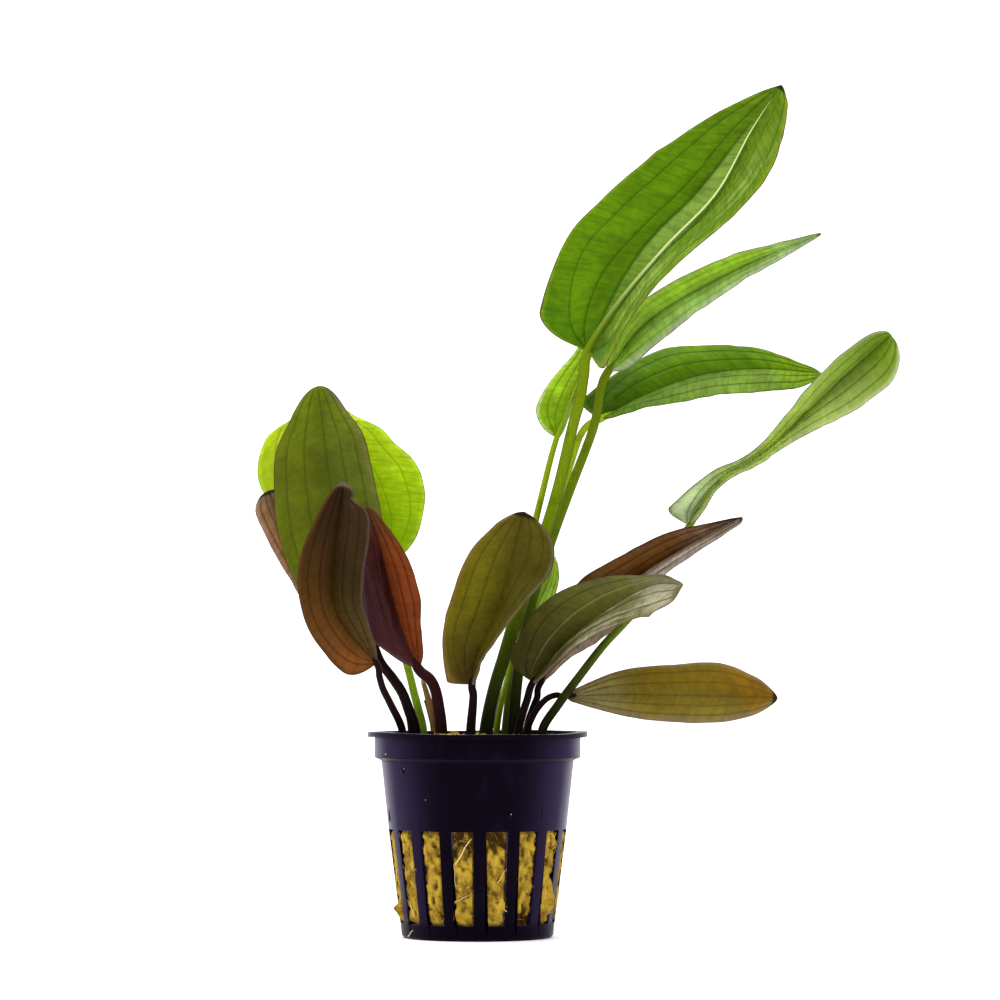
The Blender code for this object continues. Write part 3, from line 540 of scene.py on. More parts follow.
def fill(socket, value):
    """Gives an input a term, a value, or a tint of three numbers as seen, 0 to 255."""
    if isinstance(value, Term):
        value.tree.links.new(value.socket, socket)
    elif socket.type == "RGBA" and len(value) == 3:
        socket.default_value = linear(value)
    else:
        socket.default_value = value


def node(tree, kind, inputs=None, output=0, **settings):
    """Adds a node with its settings and inputs, and returns one of its outputs."""
    made = tree.nodes.new(kind)
    for name, value in settings.items():
        setattr(made, name, value)
    for name, value in (inputs or {}).items():
        fill(made.inputs[name], value)
    return Term(made.outputs[output])


def tree_of(*values):
    return next(value.tree for value in values if isinstance(value, Term))


def maths(operation, first, second=0.0):
    return node(tree_of(first, second), "ShaderNodeMath", {0: first, 1: second}, operation=operation)


def eased(value, low, high, start=0.0, end=1.0):
    """Goes smoothly from start to end while the value goes from low to high."""
    inputs = {"Value": value, "From Min": low, "From Max": high, "To Min": start, "To Max": end}
    return node(value.tree, "ShaderNodeMapRange", inputs, "Result", interpolation_type="SMOOTHSTEP")


def blended(factor, first, second, how="MIX"):
    mix = tree_of(factor, first, second).nodes.new("ShaderNodeMix")
    mix.data_type = "RGBA"
    mix.blend_type = how
    for name, value in {"Factor": factor, "A": first, "B": second}.items():
        fill(next(socket for socket in mix.inputs if socket.name == name and socket.enabled), value)
    return Term(mix.outputs[2])


def either(left, first, second):
    """The first number in the left half and the second in the right half."""
    return node(left.tree, "ShaderNodeMix", {0: left, 2: second, 3: first})


def attribute(tree, name):
    return node(tree, "ShaderNodeAttribute", None, "Fac", attribute_name=name)


def stretched(place, scale):
    return node(place.tree, "ShaderNodeMapping", {"Vector": place, "Scale": scale})


def object_place(tree, scale=(1, 1, 1)):
    return stretched(node(tree, "ShaderNodeTexCoord", None, "Object"), scale)


def noise(place, scale, detail=3.0, roughness=0.55):
    inputs = {"Vector": place, "Scale": scale, "Detail": detail, "Roughness": roughness}
    return node(place.tree, "ShaderNodeTexNoise", inputs, "Fac")


def speckle(tree, scale, detail=3.0, roughness=0.55, stretch=(1, 1, 1)):
    """Noise fixed to the object, drawn out along an axis whose stretch is under 1."""
    return noise(object_place(tree, stretch), scale, detail, roughness)


def facing(tree):
    """0 where a surface faces the viewer and 1 at its outline."""
    return node(tree, "ShaderNodeLayerWeight", {"Blend": 0.5}, "Facing")


def combined(tree, **axes):
    return node(tree, "ShaderNodeCombineXYZ", axes)


def new_material(name):
    material = bpy.data.materials.new(name)
    material.use_nodes = True
    return material, material.node_tree


def coated(material, colour, roughness, gloss=0.5, height=None, depth=0.0):
    """Gives the material's shader its colour, roughness and gloss, and bumps as deep as depth says."""
    tree = material.node_tree
    shader = tree.nodes["Principled BSDF"]
    fill(shader.inputs["Base Color"], colour)
    fill(shader.inputs["Roughness"], roughness)
    fill(shader.inputs["Specular IOR Level"], gloss)
    if height:
        bumps = node(tree, "ShaderNodeBump", {"Height": height, "Distance": depth, "Strength": 1.0}, "Normal")
        fill(shader.inputs["Normal"], bumps)
    return material


def new_group(name, family, inputs, outputs):
    """An empty node group, and its inputs by their names."""
    tree = bpy.data.node_groups.new(name, family)
    for way, sockets in (("INPUT", inputs), ("OUTPUT", outputs)):
        for socket, kind in sockets.items():
            tree.interface.new_socket(socket, in_out=way, socket_type="NodeSocket" + kind)
    return tree, {socket.name: Term(socket) for socket in tree.nodes.new("NodeGroupInput").outputs}


def end_group(tree, **outputs):
    end = tree.nodes.new("NodeGroupOutput")
    for name, term in outputs.items():
        fill(end.inputs[name], term)
    return tree


def leaf_colour_group():
    """The colours of a blade from where a point lies in its half, and the height of its veins."""
    inputs = {**dict.fromkeys((*PLAIN_TINTS, *LEAF_COLOURS), "Color"), **dict.fromkeys(LEAF_AMOUNTS, "Float")}
    tree, given = new_group("leaf_colour", "ShaderNodeTree", inputs, {"Colour": "Color", "Height": "Float"})
    along = attribute(tree, "along") - 1.0
    across, width, run, ahead = (attribute(tree, name) for name in ("across", "width", "run", "ahead"))
    left = maths("GREATER_THAN", across, 0)
    reach = abs(across)
    reach_mm = reach * width
    inwards = width - reach_mm
    patches = speckle(tree, 130)
    blots = speckle(tree, 520, 4, 0.6)
    wander = patches - 0.5

    def halves(share, kind=""):
        return blended(share, given["right" + kind], given["left" + kind])

    def sided(amount):
        return either(left, given["left_" + amount], given["right_" + amount])

    # The two halves; the strips beside the midrib, painted sheen and painted shade of the fold there, with
    # borders that are painted shade lines in its groove; and the pale streaks of painted sheen
    soft = eased(across, given["crease"] * -1.0, given["crease"])
    colour = halves(soft)
    spindle = eased(along, 0.05, 0.4, 0.35, 1) * eased(along, 0.6, 1, 1, 0.4)
    strip = sided("reach") * either(left, spindle, eased(along, 0.1, 0.65, 1, 0.15))
    beyond = (reach + wander * 0.04 - strip) * width
    # Painted sheen and painted shade in the strips beside the midrib
    strip_light_and_shade = eased(beyond, -0.5, 0.0, 1, 0) * either(left, eased(along, 0.1, 0.55, 0.3, 1), 0.8)
    colour = blended(strip_light_and_shade, colour, halves(left, "_inner"))
    # A painted shade line along the groove at the strips' borders
    groove_shade_line = eased(abs(beyond), 0.1, 0.8, 0.7, 0) * maths("GREATER_THAN", strip, 0.02)
    colour = blended(groove_shade_line, colour, given["vein"])
    lanes = combined(tree, X=reach_mm * 0.5, Y=run * 0.03, Z=left)
    # Pale streaks of painted sheen along the blade
    streak = eased(noise(lanes, 1.0, 3, 0.5), 0.46, 0.64) * sided("streaks")
    colour = blended(streak, colour, given["streak"])

    # The base, the tip, the margins, the uneven tone, and painted shade towards the midrib
    drift = along + wander * 0.25
    colour = blended(eased(drift, 0.03, given["base_reach"], 1, 0), colour, halves(soft, "_base"))
    colour = blended(eased(drift, given["tip_start"], 0.98), colour, halves(soft, "_tip"))
    margin = sided("margin")
    colour = blended(eased(inwards + wander * margin, 0, margin, 1, 0), colour, halves(left, "_edge"))
    shade = eased(patches, 0.3, 0.7, 0.86, 1.12) * eased(blots, 0.3, 0.7, 0.93, 1.06)
    # Painted shade, darker towards the midrib's fold
    shade = shade * eased(reach, 0.0, 0.6, 0.86, 1.05)
    grey = node(tree, "ShaderNodeCombineColor", {"Red": shade, "Green": shade, "Blue": shade})
    colour = blended(1.0, colour, grey, "MULTIPLY")

    # The net of small veins, the lengthwise veins, the rim and the very end
    lattice = combined(tree, X=across * width, Y=run + reach_mm * 0.5)
    inputs = {"Vector": stretched(lattice, (0.8, 1.25, 1)), "Scale": 1.0}
    cells = node(tree, "ShaderNodeTexVoronoi", inputs, "Distance", voronoi_dimensions="2D",
                 feature="DISTANCE_TO_EDGE")
    rungs = eased(noise(stretched(lattice, (0.16, 1.0, 1)), 0.9, 2, 0.5), 0.42, 0.62)
    net = maths("MAXIMUM", eased(cells, 0.0, 0.12, 1, 0) * 0.5, rungs)
    vein = 0.0
    for place in (0.0, given["first_vein"], given["second_vein"]):
        vein = maths("MAXIMUM", vein, eased(abs(reach - place) * width, 0.06, 0.4, 1, 0))
    colour = blended(net * given["netted"], colour, given["vein"])
    first = maths("LESS_THAN", abs(across - given["first_vein"]), 0.1)
    colour = blended(vein * given["veined"], colour, blended(first, given["vein"], given["pale_vein"]))
    colour = blended(eased(inwards, 0.05, 0.3, 1, 0) * given["rimmed"], colour, RIM_COLOUR)
    colour = blended(eased(ahead + wander, 0.7, 1.6, 1, 0), colour, given["end"])
    return end_group(tree, Colour=colour, Height=net * -0.5 + vein * -0.8 + blots * 0.5)


def leaf_material(name, tints, veins, colours):
    material, tree = new_material(name)
    inputs = {kind: tints[kind] for kind in PLAIN_TINTS}
    inputs.update({kind: tints.get(kind, tints.get(other)) for kind, other in LEAF_COLOURS.items()})
    inputs.update({kind: tints.get(kind, usual) for kind, usual in LEAF_AMOUNTS.items()})
    inputs.update(first_vein=veins[0], second_vein=veins[1])
    colour = node(tree, "ShaderNodeGroup", inputs, "Colour", node_tree=colours)
    pale = blended(tints.get("under", 0.15), colour, UNDERSIDE_COLOUR)
    both = blended(attribute(tree, "under"), colour, pale)
    roughness = eased(speckle(tree, 260), 0.3, 0.7, 0.30, 0.46)
    coated(material, both, roughness, tints.get("gloss", 0.06), colour.beside("Height"), 0.00012)
    glow = blended(1.0, colour, GLOW_COLOUR, "MULTIPLY")
    through = node(tree, "ShaderNodeBsdfTranslucent", {"Color": glow})
    surface = Term(tree.nodes["Principled BSDF"].outputs[0])
    mix = node(tree, "ShaderNodeMixShader", {0: GLOW_SHARE, 1: surface, 2: through})
    fill(tree.nodes["Material Output"].inputs["Surface"], mix)
    return material


def stalk_material(name, tints):
    """From the foot at 0 over the blade's base at 1 to its tip at 2, with fine streaks, darker patches and
    painted shade at its sides.
    """
    material, tree = new_material(name)
    along = attribute(tree, "along")
    patches = speckle(tree, 170)
    on_stem = eased(along, 0.9, 1.05, 1, 0)
    streaks = speckle(tree, 1500, 2, stretch=(1, 1, 0.06)) * on_stem
    colour = blended(eased(along, 0.04, tints.get("foot_reach", 0.6)), tints["foot"], tints["stalk"])
    colour = blended(eased(along, 1.0, 1.55), colour, tints["rib"])
    dark = blended(1.0, colour, STALK_DARK_AND_SHADE, "MULTIPLY")
    colour = blended(eased(patches, 0.5, 0.75, 0, 0.6) * on_stem, colour, dark)
    # Painted shade where the stalk turns from the viewer
    colour = blended(eased(facing(tree), 0.3, 0.85, 0, 0.75) * on_stem, colour, dark)
    pale = blended(1.0, colour, STALK_PALE, "MULTIPLY")
    colour = blended(eased(streaks, 0.55, 0.7, 0, 0.5), colour, pale)
    return coated(material, colour, eased(patches, 0.3, 0.7, 0.3, 0.5), 0.02, streaks, 0.00008)


def pot_material():
    """Satin black plastic, with painted reflection that turns it violet where it turns away and pale at its
    outline, and painted shade under its collar, at its lip and at its foot.
    """
    material, tree = new_material("pot_plastic")
    film = speckle(tree, 120, 5, 0.65, (1, 1, 0.35))
    turned = facing(tree)
    # Painted reflection: violet where the surface turns from the viewer, and pale at its outline
    colour = blended(eased(turned, 0.06, 0.5), POT_TINTS["front"], POT_TINTS["turned"])
    colour = blended(eased(film, 0.5, 0.8, 0, 0.35), colour, POT_TINTS["film"])
    colour = blended(eased(turned, 0.5, 0.97, 0, 0.85), colour, POT_TINTS["outline"])
    height = node(tree, "ShaderNodeSeparateXYZ", {0: object_place(tree)}, "Z")
    # Painted shade in a band under the collar's step, at and under the lip, and up from the foot
    line = eased(abs(height - (COLLAR_FOOT - COLLAR_STEP / 2)), COLLAR_STEP * 0.5, COLLAR_STEP * 0.8, 0.85, 0)
    lip = eased(height, POT_HEIGHT - LIP_THICKNESS * 1.5, LIP_FOOT, 0, 0.6)
    foot = eased(height, FOOT_SHADE_HEIGHT * 0.6, FOOT_SHADE_HEIGHT, 0.75, 0)
    colour = blended(maths("MAXIMUM", maths("MAXIMUM", line, lip), foot), colour, POT_TINTS["dark"])
    grain = speckle(tree, 1400) + film * 2.0
    return coated(material, colour, eased(film, 0.3, 0.75, 0.3, 0.45), 0.02, grain, 0.00004)


def wool_material():
    """Golden brown and matted, with painted highlight on its tufts, painted shade between them, and painted
    shade darkest where it lies deepest.
    """
    material, tree = new_material("rock_wool")
    patches = speckle(tree, 210, 4, 0.6)
    tufts = speckle(tree, 800, 4, 0.7, (1, 1, 0.5))
    strands = speckle(tree, 1500, 3, 0.7, (1, 1, 4))
    colour = blended(eased(patches, 0.36, 0.6), WOOL_TINTS["brown"], WOOL_TINTS["golden"])
    # Painted highlight on the tufts' tops and painted shade between them
    colour = blended(eased(tufts, 0.5, 0.72, 0, 0.6), colour, WOOL_TINTS["tuft_highlight"])
    colour = blended(eased(tufts, 0.26, 0.46, 0.3, 0), colour, WOOL_TINTS["gap"])
    colour = blended(eased(strands, 0.6, 0.78, 0, 0.3), colour, WOOL_TINTS["strand"])
    # Painted shade in the hollows, darkest where the wool lies deepest
    deep = eased(attribute(tree, "rise") + tufts, -0.6, 0.75, 0.95, 0)
    colour = blended(deep, colour, WOOL_TINTS["deep"])
    return coated(material, colour, 0.9, 0.06, tufts + strands * 0.4, 0.0006)


def fibre_material():
    material, tree = new_material("wool_fibre")
    patches = speckle(tree, 700)
    colour = blended(eased(patches, 0.35, 0.62), WOOL_TINTS["dark_fibre"], WOOL_TINTS["fibre"])
    return coated(material, colour, eased(patches, 0.3, 0.7, 0.5, 0.75))


def root_material():
    """Straw-coloured, paler towards the thin end."""
    material, tree = new_material("roots")
    patches = speckle(tree, 900)
    colour = blended(attribute(tree, "along"), ROOT_TINTS["thick"], ROOT_TINTS["thin"])
    colour = blended(eased(patches, 0.5, 0.7, 0, 0.6), colour, ROOT_TINTS["patch"])
    return coated(material, colour, eased(patches, 0.3, 0.7, 0.4, 0.6), 0.15)


def mark_material():
    """Drops as dark as the pot but smoother, and pale specks: dust, and on two drops their painted glints."""
    material, tree = new_material("pot_marks")
    patches = speckle(tree, 2500, 2)
    dust_and_glint = blended(patches, MARK_TINTS["dull_dust_and_glint"], MARK_TINTS["dust_and_glint"])
    colour = blended(attribute(tree, "pale"), MARK_TINTS["drop"], dust_and_glint)
    return coated(material, colour, eased(patches, 0.3, 0.7, 0.12, 0.2), 0.06)


def geometry_group(name, **inputs):
    """An empty geometry tree with a geometry in and out and the named inputs."""
    return new_group(name, "GeometryNodeTree", {"Geometry": "Geometry", **inputs}, {"Geometry": "Geometry"})


def shape_of(chosen):
    return node(chosen.tree, "GeometryNodeObjectInfo", {"Object": chosen}, "Geometry")


def stored(tree, name):
    return node(tree, "GeometryNodeInputNamedAttribute", {"Name": name}, "Attribute", data_type="FLOAT")


def skinned(geometry, skin):
    return node(geometry.tree, "GeometryNodeSetMaterial", {"Geometry": geometry, "Material": skin})


def swept_along(curve, outline, scale=1.0, capped=False):
    inputs = {"Curve": curve, "Profile Curve": outline, "Scale": scale, "Fill Caps": capped}
    return node(curve.tree, "GeometryNodeCurveToMesh", inputs)


def joined(*pieces):
    """The pieces as one plain mesh."""
    tree = pieces[0].tree
    join = tree.nodes.new("GeometryNodeJoinGeometry")
    for piece in pieces:
        tree.links.new(piece.socket, join.inputs[0])
    return node(tree, "GeometryNodeRealizeInstances", {0: Term(join.outputs[0])})


def shaped(obj, tree, **inputs):
    """Runs a geometry tree on an object and keeps what it makes as the object's plain mesh."""
    modifier = obj.modifiers.new(tree.name, "NODES")
    modifier.node_group = tree
    for item in tree.interface.items_tree:
        if item.in_out == "INPUT" and item.name in inputs:
            modifier[item.identifier] = inputs[item.name]
    graph = bpy.context.evaluated_depsgraph_get()
    made = obj.evaluated_get(graph)
    mesh = bpy.data.meshes.new_from_object(made, preserve_all_data_layers=True, depsgraph=graph)
    obj.modifiers.remove(modifier)
    obj.data = mesh
    mesh.name = obj.name


def add_object(name, points, edges=(), faces=(), material=None, **values):
    """A mesh object, with a float attribute on its points for each list of values."""
    mesh = bpy.data.meshes.new(name)
    mesh.from_pydata([tuple(map(float, point)) for point in points], list(edges), list(faces))
    for kind, numbers in values.items():
        mesh.attributes.new(kind, "FLOAT", "POINT").data.foreach_set("value", np.asarray(numbers, np.float32))
    if material:
        mesh.materials.append(material)
    obj = bpy.data.objects.new(name, mesh)
    bpy.context.scene.collection.objects.link(obj)
    return obj


def remove(*objects):
    for obj in objects:
        bpy.data.objects.remove(obj)


def turned_out(mesh):
    bm = bmesh.new()
    bm.from_mesh(mesh)
    bmesh.ops.recalc_face_normals(bm, faces=bm.faces)
    bm.to_mesh(mesh)
    bm.free()


def curve_points(knots, places):
    """Points at places, counted in knots, of the smooth Catmull-Rom curve through the knots."""
    ends = np.vstack([2 * knots[0] - knots[1], knots, 2 * knots[-1] - knots[-2]])
    step = np.minimum(places.astype(int), len(knots) - 2)
    share = (places - step)[:, None]
    before, start, end, after = (ends[step + offset] for offset in range(4))
    return (
        2 * start
        + (end - before) * share
        + (2 * before - 5 * start + 4 * end - after) * share**2
        + (3 * start - before - 3 * end + after) * share**3
    ) / 2


def lengths_along(points):
    return np.concatenate([[0], np.cumsum(np.linalg.norm(np.diff(points, axis=0), axis=1))])


def points_at(points, lengths):
    """Points at lengths, in metres, along a finely sampled path."""
    along = lengths_along(points)
    return np.stack([np.interp(lengths, along, places) for places in points.T], axis=1)


def leaf_path(leaf):
    """The fine path from the stalk's foot in its socket to the blade's base, and the one on to its tip."""
    foot = leaf["stem"][-1]
    below = (foot[0], foot[1], min(foot[2] - 1, (WOOL_EDGE_HEIGHT - SOCKET_DEPTH) / MM + 1))
    knots = np.array((below, *reversed(leaf["stem"]), *leaf["midrib"]), float) * MM
    places = np.linspace(0, len(knots) - 1, CURVE_SAMPLES * (len(knots) - 1) + 1)
    fine = curve_points(knots, places)
    base = CURVE_SAMPLES * (len(leaf["stem"]) + 1)
    return fine[:base + 1], fine[base:]


def stations(values, shares):
    """The values at shares of the length, between values at even shares, or one value all along."""
    knots = np.atleast_1d(np.array(values, float))
    if len(knots) == 1:
        return np.full(len(shares), knots[0])
    return curve_points(knots[:, None], shares * (len(knots) - 1))[:, 0]


def rounding(shares, span):
    """Rises from 0 to 1 like a quarter circle while the share goes from 0 to span."""
    return np.sqrt(1 - (1 - np.minimum(shares / span, 1)) ** 2)


def unit(vectors):
    return vectors / np.linalg.norm(vectors, axis=-1, keepdims=True)


def ripple(u, v, seed):
    """Smooth uneven waves of height about 1 and length about 1 over the plane of u and v."""
    random = np.random.default_rng(seed)
    total = 0
    for _ in range(7):
        angle, length, start = random.uniform(0, TURN), random.uniform(0.7, 1.6), random.uniform(0, TURN)
        total += np.sin(TURN / length * (u * math.cos(angle) + v * math.sin(angle)) + start)
    return total / 3


def blade_frames(path, shares):
    """For each share: the midrib's point and the directions forward, to the left and to the back."""
    length = lengths_along(path)[-1]
    step = 0.01
    here = points_at(path, shares * length)
    after = points_at(path, np.minimum(shares + step, 1) * length)
    before = points_at(path, np.maximum(shares - step, 0) * length)
    forward = unit(after - before)
    beside = unit(np.cross(forward, (0.0, 1.0, 0.0)))
    return here, forward, beside, np.cross(beside, forward), length


def half_blade(leaf, side, frames, shares, reaches, seed):
    """The points of one half, row by row from the midrib outwards, and each point's half width."""
    here, forward, beside, back, length = frames
    which = "left" if side > 0 else "right"
    turn = np.radians(stations(leaf[which + "_turn"], shares))[:, None]
    outward = beside * (side * np.cos(turn)) + back * np.sin(turn)
    raised = beside * (side * np.sin(turn)) - back * np.cos(turn)
    width = stations(leaf[which], shares) * MM
    width = width * rounding(shares, leaf["round_base"]) * rounding(1 - shares, leaf["round_tip"])
    place, reach, depth = leaf.get(which + "_nick", (0, 1, 0))
    width = width * (1 - depth * np.exp(-(((shares - place) / reach) ** 2)))
    width = np.maximum(width, LEAST_HALF_WIDTH)[:, None]
    veins = np.array(leaf["veins"])
    reach = np.stack([np.interp(reaches, (0, *veins, 1), (0, *(veins * spread), 1))
                      for spread in rounding(shares, VEIN_SPREADING)])
    lobe = leaf["lobes"][0 if side > 0 else 1] * np.maximum(0, 1 - shares / LOBE_SHARE) ** 2
    run = (shares * length)[:, None] + 0 * reach
    off = width * reach
    fold = leaf.get(which + "_fold")
    height = width * (np.interp(reach, *fold) if fold else BULGE * np.sin(math.pi * reach))
    between = 1.0
    for vein in veins:
        groove = np.exp(-((np.abs(np.array(reaches) - vein)[None, :] * width / VEIN_SPREAD) ** 2))
        height = height - VEIN_DEPTH * groove
        between = between * (1 - groove)
    between = between * np.minimum(off / FLAT_BY_RIB, 1)
    height = height + PUCKER * between * ripple(run / PUCKER_LENGTH, off / PUCKER_WIDTH, seed)
    wave = MARGIN_WAVE * np.minimum(width / WAVING_WIDTH, 1)
    height = height + wave * reach**3 * ripple(run / LIFT_LENGTH, 0 * off, seed + 1)
    edge = off + wave * 0.5 * reach**4 * ripple(run / SWAY_LENGTH, 0 * off, seed + 2)
    points = (
        here[:, None]
        + outward[:, None] * edge[..., None]
        + raised[:, None] * height[..., None]
        - forward[:, None] * (off * lobe[:, None])[..., None]
    )
    return points, width + 0 * reach


def sheet_normals(points):
    along, across = np.gradient(points, axis=0), np.gradient(points, axis=1)
    return unit(np.cross(across, along))


def make_blade(name, leaf, path, material, seed):
    """The blade as a thin closed shell, thinner towards its margins."""
    shares = 0.5 - 0.5 * np.cos(math.pi * np.linspace(0, 1, BLADE_ROWS + 1))
    narrow = [vein + offset for vein in leaf["veins"] for offset in (-VEIN_COLUMN, 0, VEIN_COLUMN)]
    reaches = sorted(set(np.linspace(0, 1, HALF_COLUMNS + 1)) | set(narrow))
    frames = blade_frames(path, shares)
    left, left_width = half_blade(leaf, 1, frames, shares, reaches, seed)
    right, right_width = half_blade(leaf, -1, frames, shares, reaches, seed + 10)
    points = np.concatenate([left[:, :0:-1], right], axis=1)
    width = np.concatenate([left_width[:, :0:-1], right_width], axis=1)
    across = np.concatenate([np.array(reaches)[:0:-1], -np.array(reaches)])[None, :] + 0 * width
    middle, margin = BLADE_THICKNESS
    half = (middle + (margin - middle) * np.abs(across)) / 2
    thick = sheet_normals(points) * half[..., None]
    shell = np.concatenate([(points + thick).reshape(-1, 3), (points - thick).reshape(-1, 3)])
    rows, columns = across.shape
    count = rows * columns
    index = np.arange(count).reshape(rows, columns)
    quads = np.stack([index[:-1, :-1], index[:-1, 1:], index[1:, 1:], index[1:, :-1]], axis=-1).reshape(-1, 4)
    rim = np.concatenate([index[0, :-1], index[:-1, -1], index[-1, :0:-1], index[:0:-1, 0]])
    after = np.roll(rim, -1)
    walls = np.stack([rim, after, after + count, rim + count], axis=-1)
    faces = np.concatenate([quads, quads[:, ::-1] + count, walls]).tolist()
    length = frames[-1]
    obj = add_object(
        name, shell, (), faces, material,
        along=np.tile(np.repeat(shares, columns), 2) + 1,
        across=np.tile(across.ravel(), 2),
        width=np.tile(width.ravel() / MM, 2),
        run=np.tile(np.repeat(shares * length / MM, columns), 2),
        ahead=np.tile(np.repeat((1 - shares) * length / MM, columns), 2),
        under=np.repeat((0.0, 1.0), count),
    )
    turned_out(obj.data)
    obj.data.shade_smooth()
    return obj


def line_object(name, points, radius, along):
    """Lines through the points, with a new line wherever the place along starts again."""
    edges = [(number, number + 1) for number in range(len(points) - 1) if along[number + 1] > along[number]]
    return add_object(name, points, edges, thickness=radius, along=along)


def stalk_route(name, leaf, stem_path, blade_path):
    """The stalk's middle line from its foot to near the blade's tip, with its radius and place along."""
    stem_length, blade_length = lengths_along(stem_path)[-1], lengths_along(blade_path)[-1]
    stem_runs = np.linspace(0, 1, max(4, round(stem_length / STALK_STEP)) + 1)
    blade_runs = np.linspace(0, RIB_END, max(4, round(blade_length / STALK_STEP)) + 1)[1:]
    top, foot = (width / 2 * MM for width in leaf["stem_width"])
    stem = points_at(stem_path, stem_runs * stem_length)
    here, _, _, back, _ = blade_frames(blade_path, blade_runs)
    tapering = np.interp(blade_runs, *RIB_TAPER) * top
    settled = np.minimum(blade_runs / RIB_SETTLES, 1) * leaf["rib"]
    blade = here + back * (tapering * settled)[:, None]
    radius = np.concatenate([foot + (top - foot) * stem_runs**STEM_TAPER, tapering])
    along = np.concatenate([stem_runs, 1 + blade_runs])
    return line_object(name + "_route", np.concatenate([stem, blade]), radius, along)


def stalk_tree():
    """Sweeps a ridged stalk along a route, as thick as the route says, and joins it to the blade."""
    tree, given = geometry_group("stalk", Route="Object", Points="Int", Ridge="Float", Skin="Material")
    curve = node(tree, "GeometryNodeMeshToCurve", {"Mesh": shape_of(given["Route"])})
    star = {"Points": given["Points"], "Inner Radius": given["Ridge"], "Outer Radius": 1.0}
    outline = node(tree, "GeometryNodeCurveStar", star)
    swept = swept_along(curve, outline, stored(tree, "thickness"), True)
    swept = node(tree, "GeometryNodeSetShadeSmooth", {"Geometry": swept})
    return end_group(tree, Geometry=joined(skinned(swept, given["Skin"]), given["Geometry"]))


def add_stalk(obj, route, tree, skin):
    """Joins a stalk along the route to an object."""
    shaped(obj, tree, Route=route, Points=STALK_POINTS, Ridge=STALK_RIDGE, Skin=skin)
    remove(route)


def make_leaf(name, leaf, tints, tree, colours, seed):
    """A leaf from the foot of its stalk to its tip, as one piece."""
    stem_path, blade_path = leaf_path(leaf)
    material = leaf_material(name, tints, leaf["veins"], colours)
    blade = make_blade(name + "_grown", leaf, blade_path, material, seed)
    route = stalk_route(name, leaf, stem_path, blade_path)
    add_stalk(blade, route, tree, stalk_material(name + "_stalk", tints))
    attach(blade, "root")
    nodes = [name, name.replace("leaf", "stem")] if "leaf" in name else [name]
    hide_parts(*nodes)


def make_stub(tree):
    """The thin stub of an old stalk."""
    knots = np.array(DRY_STUB[::-1], float) * MM
    fine = curve_points(knots, np.linspace(0, len(knots) - 1, CURVE_SAMPLES))
    shares = np.linspace(0, 1, CURVE_SAMPLES)
    top, foot = (width / 2 * MM for width in DRY_STUB_WIDTH)
    stub = add_object("old_stub", ())
    route = line_object("stub_route", fine, foot + (top - foot) * shares, shares)
    add_stalk(stub, route, tree, stalk_material("old_stub", STUB_TINTS))
    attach(stub, "root")
    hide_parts("dry_stub")


def pot_radius(height):
    """The outer radius of the pot's body, under its collar."""
    return np.interp(height, (0, SLOT_TOP, BODY_TOP), (FOOT_RADIUS, SLOT_TOP_RADIUS, BODY_TOP_RADIUS))


def pot_profile():
    """Radii and heights round the wall and the floor, from the middle of the floor's upper side."""
    return [
        (0, FLOOR),
        (pot_radius(FLOOR) - RIB_WALL, FLOOR),
        (pot_radius(SLOT_TOP) - RIB_WALL, SLOT_TOP),
        (pot_radius(SLOT_SHOULDER) - WALL, SLOT_SHOULDER),
        (BODY_TOP_RADIUS - WALL, BODY_TOP),
        (COLLAR_RADIUS - WALL, COLLAR_FOOT),
        (COLLAR_RADIUS - WALL, POT_HEIGHT),
        (LIP_RADIUS, POT_HEIGHT),
        (LIP_RADIUS, LIP_FOOT),
        (COLLAR_RADIUS, LIP_FOOT),
        (COLLAR_RADIUS, COLLAR_FOOT),
        (BODY_TOP_RADIUS, BODY_TOP),
        (SLOT_TOP_RADIUS, SLOT_TOP),
        (pot_radius(FOOT_ROUNDING), FOOT_ROUNDING),
        (FOOT_RADIUS - FOOT_ROUNDING, 0),
        (0, 0),
    ]


def box_object(name, corner):
    """A closed block whose corners are placed by a function of -1 or 1 for each axis."""
    signs = [(x, y, z) for x in (-1, 1) for y in (-1, 1) for z in (-1, 1)]
    faces = [(0, 1, 3, 2), (4, 6, 7, 5), (0, 4, 5, 1), (2, 3, 7, 6), (0, 2, 6, 4), (1, 5, 7, 3)]
    obj = add_object(name, [corner(*sign) for sign in signs], (), faces)
    turned_out(obj.data)
    return obj


def slot_corner(inwards, aside, up):
    radius = LIP_RADIUS if inwards > 0 else FOOT_RADIUS * 0.8
    angle = aside * SLOT_ANGLE / 2
    return radius * math.cos(angle), radius * math.sin(angle), SLOT_TOP if up > 0 else SLOT_BOTTOM


def drain_corner(outwards, aside, up):
    return DRAIN_RADIUS + outwards * DRAIN_SIZE[0] / 2, aside * DRAIN_SIZE[1] / 2, up * FLOOR * 2


def ring_of(cutter, count, first):
    """Copies of a cutter at even angles round the upright axis."""
    tree = cutter.tree
    angle = node(tree, "GeometryNodeInputIndex") * maths("DIVIDE", TURN, count) + first
    return node(tree, "GeometryNodeRealizeInstances", {0: node(tree, "GeometryNodeInstanceOnPoints", {
        "Points": node(tree, "GeometryNodePoints", {"Count": count}),
        "Instance": shape_of(cutter),
        "Rotation": combined(tree, Z=angle),
    })})


